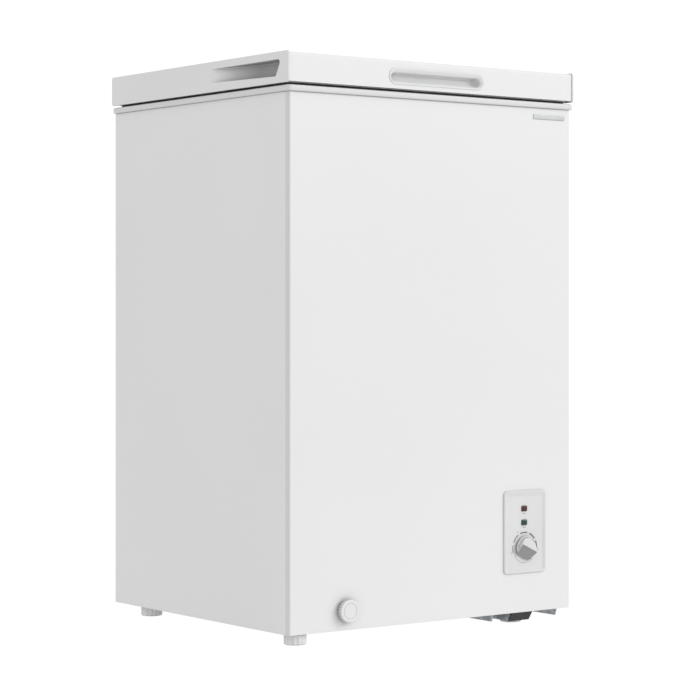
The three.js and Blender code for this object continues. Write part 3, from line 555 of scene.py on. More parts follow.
LOOKS = {
    "white_paint": white_paint(),
    "white_plastic": white_plastic(),
    # the hollow entry paints shade into the panel's recesses
    "panel_plastic": even_look(
        "panel_plastic", 0.5, (14, 3, (0.77, 0.773, 0.776), (0.81, 0.812, 0.814)), (500, 3, 0.46, 0.58),
        (2600, 2, 0.02 * MM), hollow=(6 * MM, 0.5, 0.8)),
    "liner_aluminium": liner_sheet(),
    "insulation_foam": foam(),
    "copper": even_look(
        "copper_tube", 0.3, (70, 5, (0.45, 0.2, 0.11), (0.72, 0.4, 0.26)), (200, 4, 0.22, 0.5),
        (800, 3, 0.02 * MM), metallic=1.0),
    "galvanised_steel": zinc_spangle(),
    "black_paint": even_look(
        "black_enamel", 0.3, (40, 4, (0.01, 0.01, 0.011), (0.03, 0.03, 0.032)), (120, 3, 0.25, 0.45),
        (350, 3, 0.03 * MM), Coat_Weight=0.4, Coat_Roughness=0.2),
    "black_rubber": even_look(
        "black_rubber", 0.7, (80, 4, (0.012, 0.012, 0.013), (0.03, 0.03, 0.032)), (300, 3, 0.6, 0.8),
        (1400, 2, 0.03 * MM), Sheen_Weight=0.15),
    "black_plastic": even_look(
        "black_plastic", 0.5, (60, 4, (0.016, 0.016, 0.018), (0.035, 0.035, 0.038)), (400, 3, 0.42, 0.6),
        (1800, 2, 0.03 * MM)),
    "red_lens": lamp_lens("red_lens", (0.03, 0.002, 0.003), (0.07, 0.003, 0.005)),
    "green_lens": lamp_lens("green_lens", (0.001, 0.022, 0.019), (0.002, 0.055, 0.046)),
    "badge_metal": badge_metal(),
    # the hollow entry paints shade between the foot's flutes
    "foot_plastic": even_look(
        "foot_nylon", 0.45, (50, 4, (0.84, 0.845, 0.85), (0.9, 0.905, 0.91)), (300, 3, 0.4, 0.55),
        (1400, 2, 0.02 * MM), hollow=(2.5 * MM, 0.25, 0.8), Subsurface_Weight=0.2, Subsurface_Scale=0.004),
    "zinc_steel": zinc_plate(),
    "coated_wire": even_look(
        "coated_wire", 0.3, (40, 3, (0.8, 0.805, 0.81), (0.86, 0.865, 0.87)), (300, 3, 0.25, 0.38),
        (500, 3, 0.04 * MM), Coat_Weight=0.3, Coat_Roughness=0.15),
}
INK = even_look("print_ink", 0.5, (900, 3, (0.17, 0.175, 0.18), (0.25, 0.255, 0.26)), (900, 2, 0.45, 0.6),
                (2000, 2, 0.005 * MM))
# copies of the white plastic that differ in the painted shade of their hollows; the knob's is also painted greyer where
# it faces down
PULL_PLASTIC = white_plastic("pull_plastic", 1.0, 12 * MM, 0.62)
KNOB_PLASTIC = white_plastic("knob_plastic", 0.84, 4 * MM, 0.4, shaded=True)
COLLAR_PLASTIC = white_plastic("collar_plastic", 0.9, 6 * MM, 0.4)
# the wrap's paint carries a painted dark reflection band on the first 8.5 mm of its sides
WRAP_PAINT = white_paint("wrap_paint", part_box("outer_wrap")[0].y + 8.5 * MM)


def dress(obj, slot, look=None):
    obj.data.materials.clear()
    obj.data.materials.append(look or LOOKS[slot])


def stand_in(obj, slot, node, look=None):
    """Finishes a piece: its material, the body it rides on and the CAD node it stands for."""
    even_shading(obj)
    dress(obj, slot, look)
    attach(obj, NODE_BODY[node])
    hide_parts(node)


def extra(obj, slot, look=None):
    """Finishes a piece of the cabinet that no CAD node stands for."""
    dress(obj, slot, look)
    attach(obj, "cabinet")


def refine(node, slot, width):
    """Copies a CAD node with its flat faces merged and its edges rounded."""
    mesh = frame["nodes"][node].data.copy()
    clean(mesh, flat=math.radians(0.5))
    obj = soften(new_object(node + "_fine", mesh), width, 2, 35)
    stand_in(obj, slot, node)


# ---------------------------------------------------------------- cabinet
def cabinet_wrap():
    low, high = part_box("outer_wrap")
    bend = 4 * MM
    outline = rounded([
        (low.x, high.y, 0), (low.x, low.y, bend), (high.x, low.y, bend), (high.x, high.y, 0),
        (high.x - SHEET, high.y, 0), (high.x - SHEET, low.y + SHEET, bend - SHEET),
        (low.x + SHEET, low.y + SHEET, bend - SHEET), (low.x + SHEET, high.y, 0),
    ])
    wrap = prism("cabinet_wrap", outline, "z", low.z, high.z)
    panel_low, panel_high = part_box("panel_bezel")
    inset = 12 * MM
    window = block("window", (panel_low.x + inset, low.y - PAST, panel_low.z + inset),
                   (panel_high.x - inset, low.y + PAST, panel_high.z - inset))
    cap = middle("drain_cap")
    drain = prism("drain", circle(cap.x, cap.z, DRAIN_HOLE), "y", low.y - PAST, low.y + PAST)
    carve(wrap, window, drain)
    soften(wrap, 0.25 * MM, 2)
    stand_in(wrap, "white_paint", "outer_wrap", WRAP_PAINT)


def cabinet_back():
    low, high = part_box("back_panel")
    grille_low, grille_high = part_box("rear_grille")
    back = block("cabinet_back", low, high)
    rim = 5 * MM
    mouth = block("mouth", (grille_low.x + rim, low.y - PAST, grille_low.z + rim),
                  (grille_high.x - rim, high.y + PAST, grille_high.z - rim))
    screw_z = middle("hinge_screw_cabinet_left_a").z
    carve(back, mouth, *screw_tools(screw_z, low.y - PAST, high.y + PAST))
    swages = []
    proud = 1.0 * MM
    for x0, x1, z0 in ((low.x + 45 * MM, -15 * MM, low.z + 60 * MM),
                       (15 * MM, high.x - 45 * MM, grille_high.z + 45 * MM)):
        corners = Vector((x0, 0, z0)), Vector((x1, 0, high.z - 90 * MM))
        swages.append(loft("swage", [
            face_loop(*corners, [inset] * 4, (16 - inset) * MM, high.y + rise * proud)
            for inset, rise in ((0, -0.2), (0.2, 0.15), (1.2, 0.85), (2.2, 1.0))]))
    soften(back, 0.2 * MM, 2)
    stand_in(join("cabinet_back", back, *swages), "white_paint", "back_panel")


def ring_loops(low, high, radius, section):
    """Plan loops for a frame whose section is (inset in millimetres, height) points."""
    return [plan_inset(low, high, inset, max(radius - inset * MM, 0.5 * MM), z) for inset, z in section]


def collar():
    low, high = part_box("top_collar")
    wrap_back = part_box("outer_wrap")[1].y
    liner_low, liner_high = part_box("inner_liner")
    sheet = Vector((2 * MM, 2 * MM, 0))
    base, top = low.z, high.z
    outer = [(2.6, base), (1.0, base + 0.3 * MM), (0.2, base + 1.1 * MM), (0, base + 2.2 * MM),
             (0, top - 2.6 * MM), (0.35, top - 1.5 * MM), (1.2, top - 0.5 * MM), (2.6, top)]
    inner = [(-5, top), (-1.8, top), (-0.6, top - 0.5 * MM), (0, top - 1.8 * MM), (0, base + 1 * MM),
             (-0.6, base)]
    loops = ring_loops(low, high, 6 * MM, outer)
    loops += ring_loops(liner_low + sheet, liner_high - sheet, 19 * MM, inner)
    ring = loft("collar", loops, ring=True)
    half = 32 * MM
    carve(ring, *[block("notch", (x - half, wrap_back - 0.2 * MM, low.z - PAST),
                        (x + half, high.y + 2 * PAST, high.z + PAST)) for x in HINGE_X])
    smooth(ring, 40)
    stand_in(ring, "white_plastic", "top_collar", COLLAR_PLASTIC)


def tub():
    """The storage tub: a pressed liner with soft corners and a step over the machinery."""
    low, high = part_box("inner_liner")
    sheet = 1 * MM
    step_x, step_z = 55 * MM, 286 * MM
    radius = 20 * MM
    far_x = 400 * MM

    def body(margin, top, fillet):
        a, b = Vector((low.x + margin, low.y + margin)), Vector((high.x - margin, high.y - margin))
        loops = [plan_loop(a.x, a.y, b.x, b.y, radius + sheet - margin, top)]
        steps = 5
        for k in range(steps + 1):
            turn = math.pi / 2 * k / steps
            d = fillet * (1 - math.cos(turn))
            z = low.z + margin + fillet * (1 - math.sin(turn))
            loops.append(plan_loop(a.x + d, a.y + d, b.x - d, b.y - d, max(radius - d, 3 * MM), z))
        return loft("tub_body", loops)

    def step(margin, fillet):
        below, past = low.z - 2 * PAST, 5 * PAST
        outline = rounded([(step_x + margin, below, 0), (far_x, below, 0),
                           (far_x, step_z - margin, 0), (step_x + margin, step_z - margin, fillet)])
        return prism("step", outline, "y", low.y - past, high.y + past)

    shell = body(0, high.z, 14 * MM)
    carve(shell, step(0, 9 * MM))
    hollow = body(sheet, high.z + PAST, 13 * MM)
    carve(hollow, step(-sheet, 10 * MM))
    round_edges(hollow, 3 * MM, 3, 50)
    carve(shell, bake(hollow))
    plug = middle("drain_plug")
    carve(shell, prism("hole", circle(plug.x, plug.y, DRAIN_HOLE), "z", low.z - PAST, low.z + PAST))
    rail_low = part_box("wire_basket")[1].z - 3.8 * MM
    top, base, reach, half = rail_low - 0.3 * MM, rail_low - 4.3 * MM, 8 * MM, 200 * MM
    ledges = []
    for wall, inward in ((low.y + sheet, 1), (high.y - sheet, -1)):
        root, edge = wall - inward * 0.5 * MM, wall + inward * reach
        outline = rounded([(root, base, 0), (edge, base, 1.4 * MM), (edge, top, 1.4 * MM), (root, top, 0)])
        ledges.append(soften(prism("ledge", outline, "x", -half, half), 0.6 * MM, 2, 60))
    shell = smooth(join("storage_tub", shell, *ledges), 38)
    stand_in(shell, "liner_aluminium", "inner_liner")


# ---------------------------------------------------------------- front fittings
def bezel(field):
    low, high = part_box("panel_bezel")
    back, front = high.y, low.y
    # (left, bottom, right, top) insets and corner radius in millimetres, then the depth
    rows = [
        ((0, 0, 0, 0), 6.0, back),
        ((0, 0, 0, 0), 6.0, back - 0.6 * MM),
        ((0.5, 0.4, 0.4, 0.4), 5.7, front + 1.0 * MM),
        ((1.2, 0.9, 1.0, 0.9), 5.3, front + 0.3 * MM),
        ((1.9, 1.3, 1.6, 1.4), 5.0, front),
        ((2.6, 1.8, 2.2, 2.0), 4.6, front + 0.15 * MM),
        ((6.2, 3.6, 5.8, 8.6), 3.4, field - 0.2 * MM),
        ((7.0, 4.4, 6.8, 9.6), 3.0, field),
    ]
    plate = loft("control_panel", [face_loop(low, high, insets, radius * MM, y) for insets, radius, y in rows])
    tools = []
    for lamp in LENSES:
        a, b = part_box(lamp)
        outline = face_loop(a, b, [-0.3] * 4, 1.3 * MM, 0, 3)
        tools.append(prism("lens_hole", [(u, v) for u, _, v in outline], "y", front - PAST, back + PAST))
    shaft = middle("thermostat_knob")
    tools.append(prism("shaft_hole", circle(shaft.x, shaft.z, 4.2 * MM), "y", front - PAST, back + PAST))
    carve(plate, *tools)
    smooth(plate, 28)
    stand_in(plate, "panel_plastic", "panel_bezel")


def lens(node):
    low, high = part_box(node)
    front = low.y
    rows = ((0, high.y - 12 * MM), (0, front + 0.7 * MM), (0.2, front + 0.35 * MM), (0.7, front + 0.1 * MM),
            (1.5, front))
    loops = [face_loop(low, high, [inset] * 4, max(1.2 - inset / 2, 0.3) * MM, y, 4) for inset, y in rows]
    stand_in(smooth(loft(node + "_window", loops), 50), node, node)


def knob():
    """A shallow dial: a milled rim and a face that falls away on both sides of a ridge."""
    low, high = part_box("thermostat_knob")
    x, _, z = middle("thermostat_knob")
    rim = (high.x - low.x) / 2
    tall = 10.5 * MM
    base = low.y + tall
    profile = [(0, 0), (rim - 0.6 * MM, 0), (rim, 0.5 * MM), (rim, 2.6 * MM), (rim - 0.5 * MM, 3.1 * MM),
               (rim - 1.3 * MM, 3.2 * MM), (rim - 1.8 * MM, 2.7 * MM), (rim - 2.2 * MM, 2.7 * MM),
               (rim - 2.7 * MM, 3.3 * MM), (rim - 3.1 * MM, tall), (0, tall)]
    steps = 96 if FINE else 48
    body = loft("knob", [[Vector((u, base - height, v)) for u, v in circle(x, z, radius, steps)]
                         for radius, height in profile])
    lean = math.radians(26)
    ridge = 0.6 * MM  # half the ridge's width
    for turn, slope in ((0, 0.42), (math.pi, 0.58)):
        tool = block("facet", (-0.03, -0.03, 0), (0.03, 0, 0.05))
        tool.data.transform(
            Matrix.Translation((x, low.y, z)) @ Matrix.Rotation(lean, 4, "Y")
            @ Matrix.Translation((0, 0, ridge)) @ Matrix.Rotation(turn, 4, "Y") @ Matrix.Translation((0, 0.3 * MM, 0))
            @ Matrix.Rotation(-slope, 4, "X"))
        carve(body, tool)
    soften(body, 0.3 * MM, 3, 16)
    grips = []
    count = 48
    for k in range(count):
        angle = 2 * math.pi * k / count
        out = Vector((math.cos(angle), 0, math.sin(angle)))
        spot = Vector((x, base - 1.7 * MM, z)) + out * (rim - 0.25 * MM)
        along = Vector((0, 1.1 * MM, 0))
        grips.append(tube("grip", [spot - along, spot, spot + along], 0.25 * MM, 2))
    shaft = turned("shaft", [(0, 0), (2.9, 0), (2.9, 14), (0, 14)], (x, base - 0.5 * MM, z), "y", 24)
    whole = smooth(join("thermostat_dial_knob", body, *grips, shaft), 30)
    stand_in(whole, "white_plastic", "thermostat_knob", KNOB_PLASTIC)


def dial_marks(field):
    """Printed scale round the knob: arcs that thicken, then dots and ticks, with three digits."""
    x, _, z = middle("thermostat_knob")
    marks = []

    def mark(name, outline):
        marks.append(prism(name, outline, "y", field - 0.12 * MM, field + 0.05 * MM))

    def arc(radius, start, end, steps=10):
        angles = [math.radians(start + (end - start) * k / steps) for k in range(steps + 1)]
        return [(x + radius * math.cos(angle), z + radius * math.sin(angle)) for angle in angles]

    track = 23.9 * MM
    for start, end, width in ((167, 195, 1.4), (122, 157, 1.7), (77, 112, 2.1), (34, 67, 2.5), (-5, 24, 3.1)):
        half = width * MM / 2
        mark("arc", arc(track + half, start, end) + arc(track - half, end, start))
    count, dots = 11, 7
    for k in range(count):
        angle = math.radians(213 + 94 * k / (count - 1))
        long, wide = mm(0.75, 0.6) if k < dots else mm(1.2, 0.22)
        out = Vector((math.cos(angle), math.sin(angle)))
        side = Vector((-out.y, out.x))
        spot = Vector((x, z)) + out * 22.6 * MM
        mark("tick", [tuple(spot + out * long * a + side * wide * b)
                      for a, b in ((1, 1), (-1, 1), (-1, -1), (1, -1))])
    for lamp in LENSES:
        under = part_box(lamp)[0].z
        centre = middle(lamp).x
        mark("dash", rectangle(centre - 3 * MM, under - 4 * MM, centre + 3 * MM, under - 3.3 * MM))
    for text, dx, dz in (("1", -26.6, -8.2), ("3", -14.2, 23.6), ("6", 27.0, -5.2)):
        curve = bpy.data.curves.new("digit", "FONT")
        curve.body = text
        curve.size = 4.2 * MM
        curve.extrude = 0.06 * MM
        curve.align_x = "CENTER"
        digit = turned_to_mesh("digit", curve)
        digit.data.transform(Matrix.Rotation(math.pi / 2, 4, "X"))
        digit.data.transform(Matrix.Translation((x + dx * MM, field - curve.extrude, z + dz * MM)))
        marks.append(digit)
    extra(join("dial_print", *marks), "black_plastic", INK)


def badge():
    low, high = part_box("badge_strip")
    rows = ((0, high.y), (0, low.y + 0.25 * MM), (0.15, low.y + 0.05 * MM), (0.5, low.y))
    loops = [face_loop(low, high, [inset] * 4, max(1.0 - inset, 0.3) * MM, y, 4) for inset, y in rows]
    stand_in(smooth(loft("badge", loops), 50), "badge_metal", "badge_strip")


def drain_cap():
    low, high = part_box("drain_cap")
    x, _, z = middle("drain_cap")
    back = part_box("drain_tube")[0].y - 0.3 * MM
    depth = (back - low.y) / MM
    rows = [(0.3, depth, 0), (0.96, depth, 0), (1.0, depth - 0.5, 1), (1.0, 1.6, 1), (0.985, 0.8, 0.9),
            (0.95, 0.25, 0.5), (0.9, 0.0, 0.1), (0.71, 0.0, 0), (0.7, 0.12, 0), (0.685, 0.5, 0),
            (0.665, 0.62, 0), (0.645, 0.5, 0), (0.63, 0.12, 0), (0.62, 0.0, 0), (0.3, 0.0, 0)]
    cap = fluted("cap_disc", Vector((x, low.y, z)), (high.x - low.x) / 2, 0.9 * MM, 24, rows, "y", 40)
    spigot = turned("spigot", [(0, 0), (6.3, 0), (6.3, 15), (5.6, 16), (0, 16)],
                    (x, back - 1 * MM, z), "y", 32)
    whole = smooth(join("drain_outlet_cap", cap, spigot), 40)
    stand_in(whole, "white_plastic", "drain_cap")


def drain_plug():
    x, y, _ = middle("drain_plug")
    rows = [(0, 0), (5.9, 0), (6.5, 0.8), (6.5, 15.0), (7.2, 15.6), (13.2, 15.6), (14, 16.2), (14, 17.0),
            (13.3, 17.8), (8, 18.5), (5.6, 18.9), (4.9, 19.8), (4.7, 23.6), (4.9, 24.4), (4.3, 25), (0, 25)]
    plug = turned("tub_drain_plug", rows, (x, y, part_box("drain_plug")[0].z), "z", 40)
    stand_in(plug, "white_plastic", "drain_plug")


# ---------------------------------------------------------------- feet and machinery
def foot(place):
    node = "foot_pad_" + place
    low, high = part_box(node)
    x, y, _ = middle(node)
    tall = (high.z - low.z) / MM
    rows = [(0.2, 0.0, 0), (0.82, 0.0, 0), (0.93, 0.35, 0.3), (0.985, 1.1, 0.8), (1.0, 2.0, 1),
            (1.0, tall - 2.4, 1), (0.985, tall - 1.2, 0.8), (0.94, tall - 0.4, 0.3), (0.86, tall, 0),
            (0.3, tall, 0)]
    pad = fluted("foot_" + place, Vector((x, y, low.z)), (high.x - low.x) / 2, 1.7 * MM, 14, rows, "z", 45)
    carve(pad, prism("bore", circle(x, y, 4.25 * MM, 24), "z", low.z + 2 * MM, high.z + PAST))
    smooth(pad, 45)
    stand_in(pad, "foot_plastic", node)
    node = "foot_stud_" + place
    low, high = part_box(node)
    radius, long = (high.x - low.x) / 2 / MM, (high.z - low.z) / MM
    rows = [(0, 0), (radius * 0.85, 0)]
    pitch = 1.25
    z = 0.5
    while z < long - pitch:
        rows += [(radius * 0.9, z), (radius, z + pitch * 0.45), (radius, z + pitch * 0.6)]
        z += pitch
    rows += [(radius * 0.85, long), (0, long)]
    stand_in(turned("stud_" + place, rows, (x, y, low.z), "z", 24), "zinc_steel", node)


def grille():
    low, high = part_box("rear_grille")
    plate = block("bay_grille", low, high)
    cord = middle("cord_gland")
    tools, hoods = [], []
    rows, pitch, wide, tall = 9, 18 * MM, 56 * MM, 6 * MM
    for i in range(rows):
        z = 58 * MM + i * pitch
        for x in (low.x + 16 * MM, low.x + 90 * MM):
            outline = rectangle(x, z, x + wide, z + tall, 2.9 * MM, 6)
            tools.append(prism("slot", outline, "y", low.y - PAST, high.y + PAST))
            lip = [Vector((end, high.y + 0.1 * MM, z + tall)) for end in (x + 2 * MM, x + wide - 2 * MM)]
            hoods.append(tube("hood", lip, 0.9 * MM, 3))
    tools.append(prism("gland", circle(cord.x, cord.z, 7.5 * MM), "y", low.y - PAST, high.y + PAST))
    carve(plate, join("cutter", *tools))
    soften(plate, 0.25 * MM, 2, 50)
    inset = 7 * MM
    profile = [(0, -0.2), (3.4, -0.2), (3.4, 0.7), (2.6, 1.6), (1.2, 1.9), (1.0, 1.2), (0, 1.1)]
    heads = [turned("head", profile, (x, high.y, z), "y", 24) for x in (low.x + inset, high.x - inset)
             for z in (low.z + inset, (low.z + high.z) / 2, high.z - inset)]
    stand_in(join("bay_grille", plate, *hoods), "galvanised_steel", "rear_grille")
    extra(join("grille_screws", *heads), "zinc_steel")


def gland():
    x, _, z = middle("cord_gland")
    rows = [(3.6, 0), (6.8, 0), (7.2, 0.4), (7.2, 6), (9.6, 6.1), (10, 6.5), (9.7, 7.6), (8.9, 8.7),
            (8.0, 9.2), (5.4, 9.2), (3.9, 8.9), (3.6, 8.3)]
    loops = spin(rows, (x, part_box("cord_gland")[0].y, z), "y", 40)
    stand_in(smooth(loft("cord_sleeve", loops, ring=True), 45), "black_rubber", "cord_gland")


def compressor():
    low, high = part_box("compressor")
    x, y, _ = middle("compressor")
    z = low.z + 1 * MM
    radius, tall = 58, 138 * MM
    rows = [(0, 0), (0.5, 0.5), (0.72, 2), (0.84, 5), (0.93, 11), (0.98, 19), (1, 27), (1, 57), (1.01, 58.5),
            (1.05, 59.3), (1.05, 66.2), (1.01, 67), (1, 68.5), (1, 100), (0.98, 109), (0.94, 117), (0.87, 125),
            (0.77, 131), (0.6, 135.4), (0.3, 137.5), (0, 138)]
    can = turned("can", [(size * radius, height + 2) for size, height in rows], (0, 0, 0), "z", 64)
    can.data.transform(Matrix.Scale(0.86, 4, (0, 1, 0)))
    can.data.transform(Matrix.Translation((x, y, z)))
    outline = rectangle(low.x, y - 46 * MM, high.x, y + 46 * MM, 10 * MM)
    plate = prism("plate", outline, "z", low.z, low.z + 3.2 * MM)
    holes = [prism("hole", circle(x + sx * 52 * MM, y + sy * 34 * MM, 5.5 * MM, 24), "z",
                   low.z - PAST, low.z + PAST)
             for sx in (-1, 1) for sy in (-1, 1)]
    carve(plate, join("holes", *holes))
    soften(plate, 0.6 * MM, 2)
    stub = turned("stub", [(0, 0), (3.4, 0), (4, 0.5), (4, 14), (3.4, 14.7), (0, 14.7)],
                  (x + 47 * MM, y, z + 84 * MM), "x", 24)
    service = turned("service", [(0, 0), (3, 0), (3, 9), (2.4, 9.6), (0, 9.6)],
                     (x - 20 * MM, y + 20 * MM, z + tall - 10 * MM), "z", 24)
    stand_in(join("compressor_can", can, plate, stub, service), "black_paint", "compressor")


def pipework():
    x, y, _ = middle("compressor")
    low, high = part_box("suction_tube")
    r = 3.2 * MM
    route = [(x + 62 * MM, y, low.z + r), (high.x - r, y, low.z + r), (high.x - r, high.y - r, low.z + r),
             (high.x - r, high.y - r, high.z)]
    stand_in(tube("suction_line", bent(route, 6 * MM, 8), r, 6), "copper", "suction_tube")
    low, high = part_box("discharge_tube")
    r = 2.6 * MM
    route = [(x, y, low.z), (x, y, low.z + 20 * MM), (x, high.y - r, low.z + 20 * MM), (x, high.y - r, high.z)]
    stand_in(tube("discharge_line", bent(route, 9 * MM, 8), r, 6), "copper", "discharge_tube")
    low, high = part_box("filter_drier")
    x, y = high.x - 8 * MM, high.y - 8 * MM
    rows = [(0, 0), (2.5, 0), (2.6, 5), (3.4, 7), (6.6, 10), (7.8, 12.6), (8, 14), (8, 72), (7.8, 73.6),
            (6.4, 76), (3.4, 80.6), (2.5, 83), (2.2, 90), (0, 90)]
    can = turned("can", rows, (x, y, low.z), "z", 32)
    top = high.z - 1.6 * MM
    route = [(x, y, low.z + 84 * MM), (x, y, top), (x, y - 40 * MM, top), (x - 20 * MM, y - 40 * MM, top)]
    capillary = tube("capillary", bent(route, 10 * MM, 8), 1.5 * MM, 4)
    stand_in(join("drier_and_capillary", can, capillary), "copper", "filter_drier")


def grommet(place):
    node = "grommet_" + place
    x, y, _ = middle(node)
    rows = [(3, 0.4), (3.4, 0), (8.6, 0), (9, 0.4), (9, 11.4), (8.4, 12), (5.4, 12.6), (5, 13), (5, 16),
            (5.4, 16.5), (8, 17), (8.5, 17.5), (8.5, 19.4), (7.9, 20), (3.4, 20), (3, 19.6)]
    loops = spin(rows, (x, y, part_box(node)[0].z), "z", 32)
    stand_in(smooth(loft("mount_" + place, loops, ring=True), 40), "black_rubber", node)


# ---------------------------------------------------------------- lid
def lid_skin():
    low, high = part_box("lid_sheet")
    front, back, base, top = low.y, high.y, low.z, high.z
    hem_and_reflection_band = 6 * MM
    outline = rounded([
        (front, base, 0.5 * MM), (front + hem_and_reflection_band, base, 0), (front + hem_and_reflection_band, base + SHEET, 0),
        (front + SHEET, base + SHEET, 0), (front + SHEET, top - SHEET, 3.2 * MM),
        (back - SHEET, top - SHEET, 3.2 * MM), (back - SHEET, base + SHEET, 0), (back - hem_and_reflection_band, base + SHEET, 0),
        (back - hem_and_reflection_band, base, 0), (back, base, 0.5 * MM), (back, top, 4 * MM), (front, top, 4 * MM),
    ])
    skin = prism("lid_skin", outline, "x", low.x, high.x)
    a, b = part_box("handle_insert")
    inset = 2.4 * MM
    outline = rectangle(a.x + inset, a.z + inset, b.x - inset, b.z - inset, 9.6 * MM)
    hole = prism("handle_hole", outline, "y", front - PAST, front + 8 * MM)
    screw_z = middle("hinge_screw_lid_left_a").z
    carve(skin, hole, *screw_tools(screw_z, back - PAST, back + PAST))
    smooth(skin, 30)
    stand_in(skin, "white_paint", "lid_sheet")


def end_cap(side):
    """A moulded cap over the lid's end, with a grip scooped into its side."""
    low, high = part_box("lid_end_cap_right")
    face = high.x
    plate = prism("plate", rectangle(low.y, low.z, high.y, high.z, 4 * MM), "x", face - 3.5 * MM, face)
    soften(plate, 1.3 * MM, 4, 40)
    front, back = low.y + 17.0 * MM, low.y + 200.5 * MM
    base, top = low.z + 9.9 * MM, low.z + 34.1 * MM
    deep = 23 * MM

    def cavity(grow, reach):
        outline = rounded([(front + 14 * MM - grow, base - grow, 4 * MM),
                           (back + grow, base + 4 * MM - grow, 2 * MM),
                           (back + grow, top + grow, 2 * MM), (front - grow, top + grow, 5 * MM)])
        solid = prism("scoop", outline, "x", face - deep - grow, face + reach)
        ramp = [(face - deep - 8 * MM - grow, front + 46 * MM), (face - grow, back + grow),
                (face - 60 * MM, back + 30 * MM), (face - 60 * MM, front)]
        return carve(solid, prism("ramp", ramp, "z", low.z - PAST, high.z + PAST))

    tongue = block("tongue", (face - 14 * MM, low.y + 10.5 * MM, low.z + 6 * MM),
                   (face - 3 * MM, high.y - 10.5 * MM, low.z + 7.5 * MM))
    carve(plate, cavity(2 * MM, -1.75 * MM), tongue, operation="UNION")
    hollow = cavity(0, 4 * MM)
    round_edges(hollow, 3.5 * MM, 4, 50)
    carve(plate, bake(hollow))
    soften(plate, 0.4 * MM, 2, 50)
    if side == "left":
        plate.data.transform(Matrix.Scale(-1, 4, (1, 0, 0)))
        plate.data.flip_normals()
    plate.name = "lid_cap_" + side
    stand_in(plate, "white_plastic", "lid_end_cap_" + side)


def handle():
    """A recessed pull: a pill-shaped rim, a sloping brow and a hollow whose floor curves up to the back."""
    low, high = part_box("handle_insert")
    # (left, bottom, right, top) insets, corner radius and depth, in millimetres
    outside = [
        ((0, 0, 0, 0), 12, 0.7),
        ((0.05, 0.05, 0.05, 0.05), 12, 0.35),
        ((0.4, 0.4, 0.4, 0.4), 11.7, 0.05),
        ((1.0, 1.0, 1.0, 1.2), 11.2, 0),
        ((1.8, 1.7, 1.8, 2.4), 10.4, 0.25),
        ((4.0, 2.8, 4.0, 5.6), 8.4, 2.4),
        ((4.6, 3.3, 4.6, 6.4), 8.0, 3.0),
        ((4.9, 3.8, 4.9, 6.4), 7.8, 4.0),
    ]
    steps = 10
    for k in range(1, steps + 1):
        turn = math.pi / 2 * k / steps
        rise = 1 - math.cos(turn)
        outside.append(((4.9 + 9 * rise, 3.8 + 8.6 * rise, 4.9 + 7 * rise, 6.4 + 2.6 * rise),
                        7.8 - 6.2 * rise, 4 + 11.5 * math.sin(turn)))
    inside = [
        ((8, 8, 8, 4.2), 3.5, 19.6),
        ((3.6, 3.2, 3.6, 3.4), 8.6, 19.0),
        ((2.9, 2.9, 2.9, 2.9), 9.1, 18.0),
        ((2.9, 2.9, 2.9, 2.9), 9.1, 1.2),
        ((0.6, 0.6, 0.6, 0.6), 11.4, 0.75),
        outside[0],
    ]
    skins = []
    for name, rows, caps in (("pull_front", outside, (False, True)), ("pull_back", inside, (True, False))):
        loops = [face_loop(low, high, insets, radius * MM, low.y + depth * MM)
                 for insets, radius, depth in rows]
        skins.append(loft(name, loops, caps=caps))
    pull = join("lid_pull", *skins)
    clean(pull.data)
    stand_in(smooth(pull, 45), "white_plastic", "handle_insert", PULL_PLASTIC)


def gasket():
    low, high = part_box("lid_gasket")
    tall = high.z - low.z
    # (inset in millimetres, share of the height)
    section = [(1.0, 1.0), (0.2, 0.93), (0, 0.78), (0.35, 0.66), (1.1, 0.58), (0.5, 0.5), (0.1, 0.4),
               (0.1, 0.24), (0.6, 0.1), (1.6, 0.0), (5.6, 0.02), (6.0, 0.1), (6.4, 0.02), (10.4, 0.0), (11.4, 0.1),
               (11.9, 0.24), (11.9, 0.4), (11.5, 0.5), (10.9, 0.58), (11.65, 0.66), (12, 0.78), (11.8, 0.93), (11, 1.0)]
    loops = ring_loops(low, high, 14 * MM, [(inset, low.z + share * tall) for inset, share in section])
    stand_in(smooth(loft("lid_seal", loops, ring=True), 50), "black_rubber", "lid_gasket")


def lid_pan():
    """The inner panel: a flange with a dished plug that drops into the cabinet's mouth."""
    low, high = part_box("lid_liner")
    top, base = high.z, low.z
    flange = top - 1.4 * MM
    half = 200 * MM
    plug_low, plug_high = Vector((-half, low.y + 64 * MM)), Vector((half, high.y - 64 * MM))

    def plug(inset, radius, z):
        return plan_inset(plug_low, plug_high, inset, radius * MM, z)

    def rim(inset, z):
        return plan_inset(low, high, inset, 6 * MM, z)

    dish = [(34, 8, 1.5), (30, 10, 1.5), (26, 12, 1.45), (22, 12, 1.4), (8, 10, 1.4), (3.2, 12, 3.4),
            (2.8, 12.6, 7)]
    neck = [(-5, 19, 0), (-2.2, 16.5, 0.6), (-0.6, 15, 2.2), (0.1, 14, 5)]
    outside = [(0.3, 13.8, 5), (0.8, 13.4, 2.2), (1.9, 12.6, 0.8), (3.6, 11.4, 0.2), (5.6, 10, 0), (21, 12, 0),
               (23.5, 12, 0.3), (27, 11, 1.1), (30, 10, 1.2)]
    loops = [plug(inset, radius, base + height * MM) for inset, radius, height in dish]
    loops += [plug(1.4, 13, flange - 1 * MM), plug(-0.5, 14, top), rim(0.6, top), rim(0, top - 0.4 * MM),
              rim(0, flange + 0.4 * MM), rim(0.6, flange)]
    loops += [plug(inset, radius, flange - depth * MM) for inset, radius, depth in neck]
    loops += [plug(inset, radius, base + height * MM) for inset, radius, height in outside]
    stand_in(smooth(loft("lid_inner_panel", loops), 40), "liner_aluminium", "lid_liner")


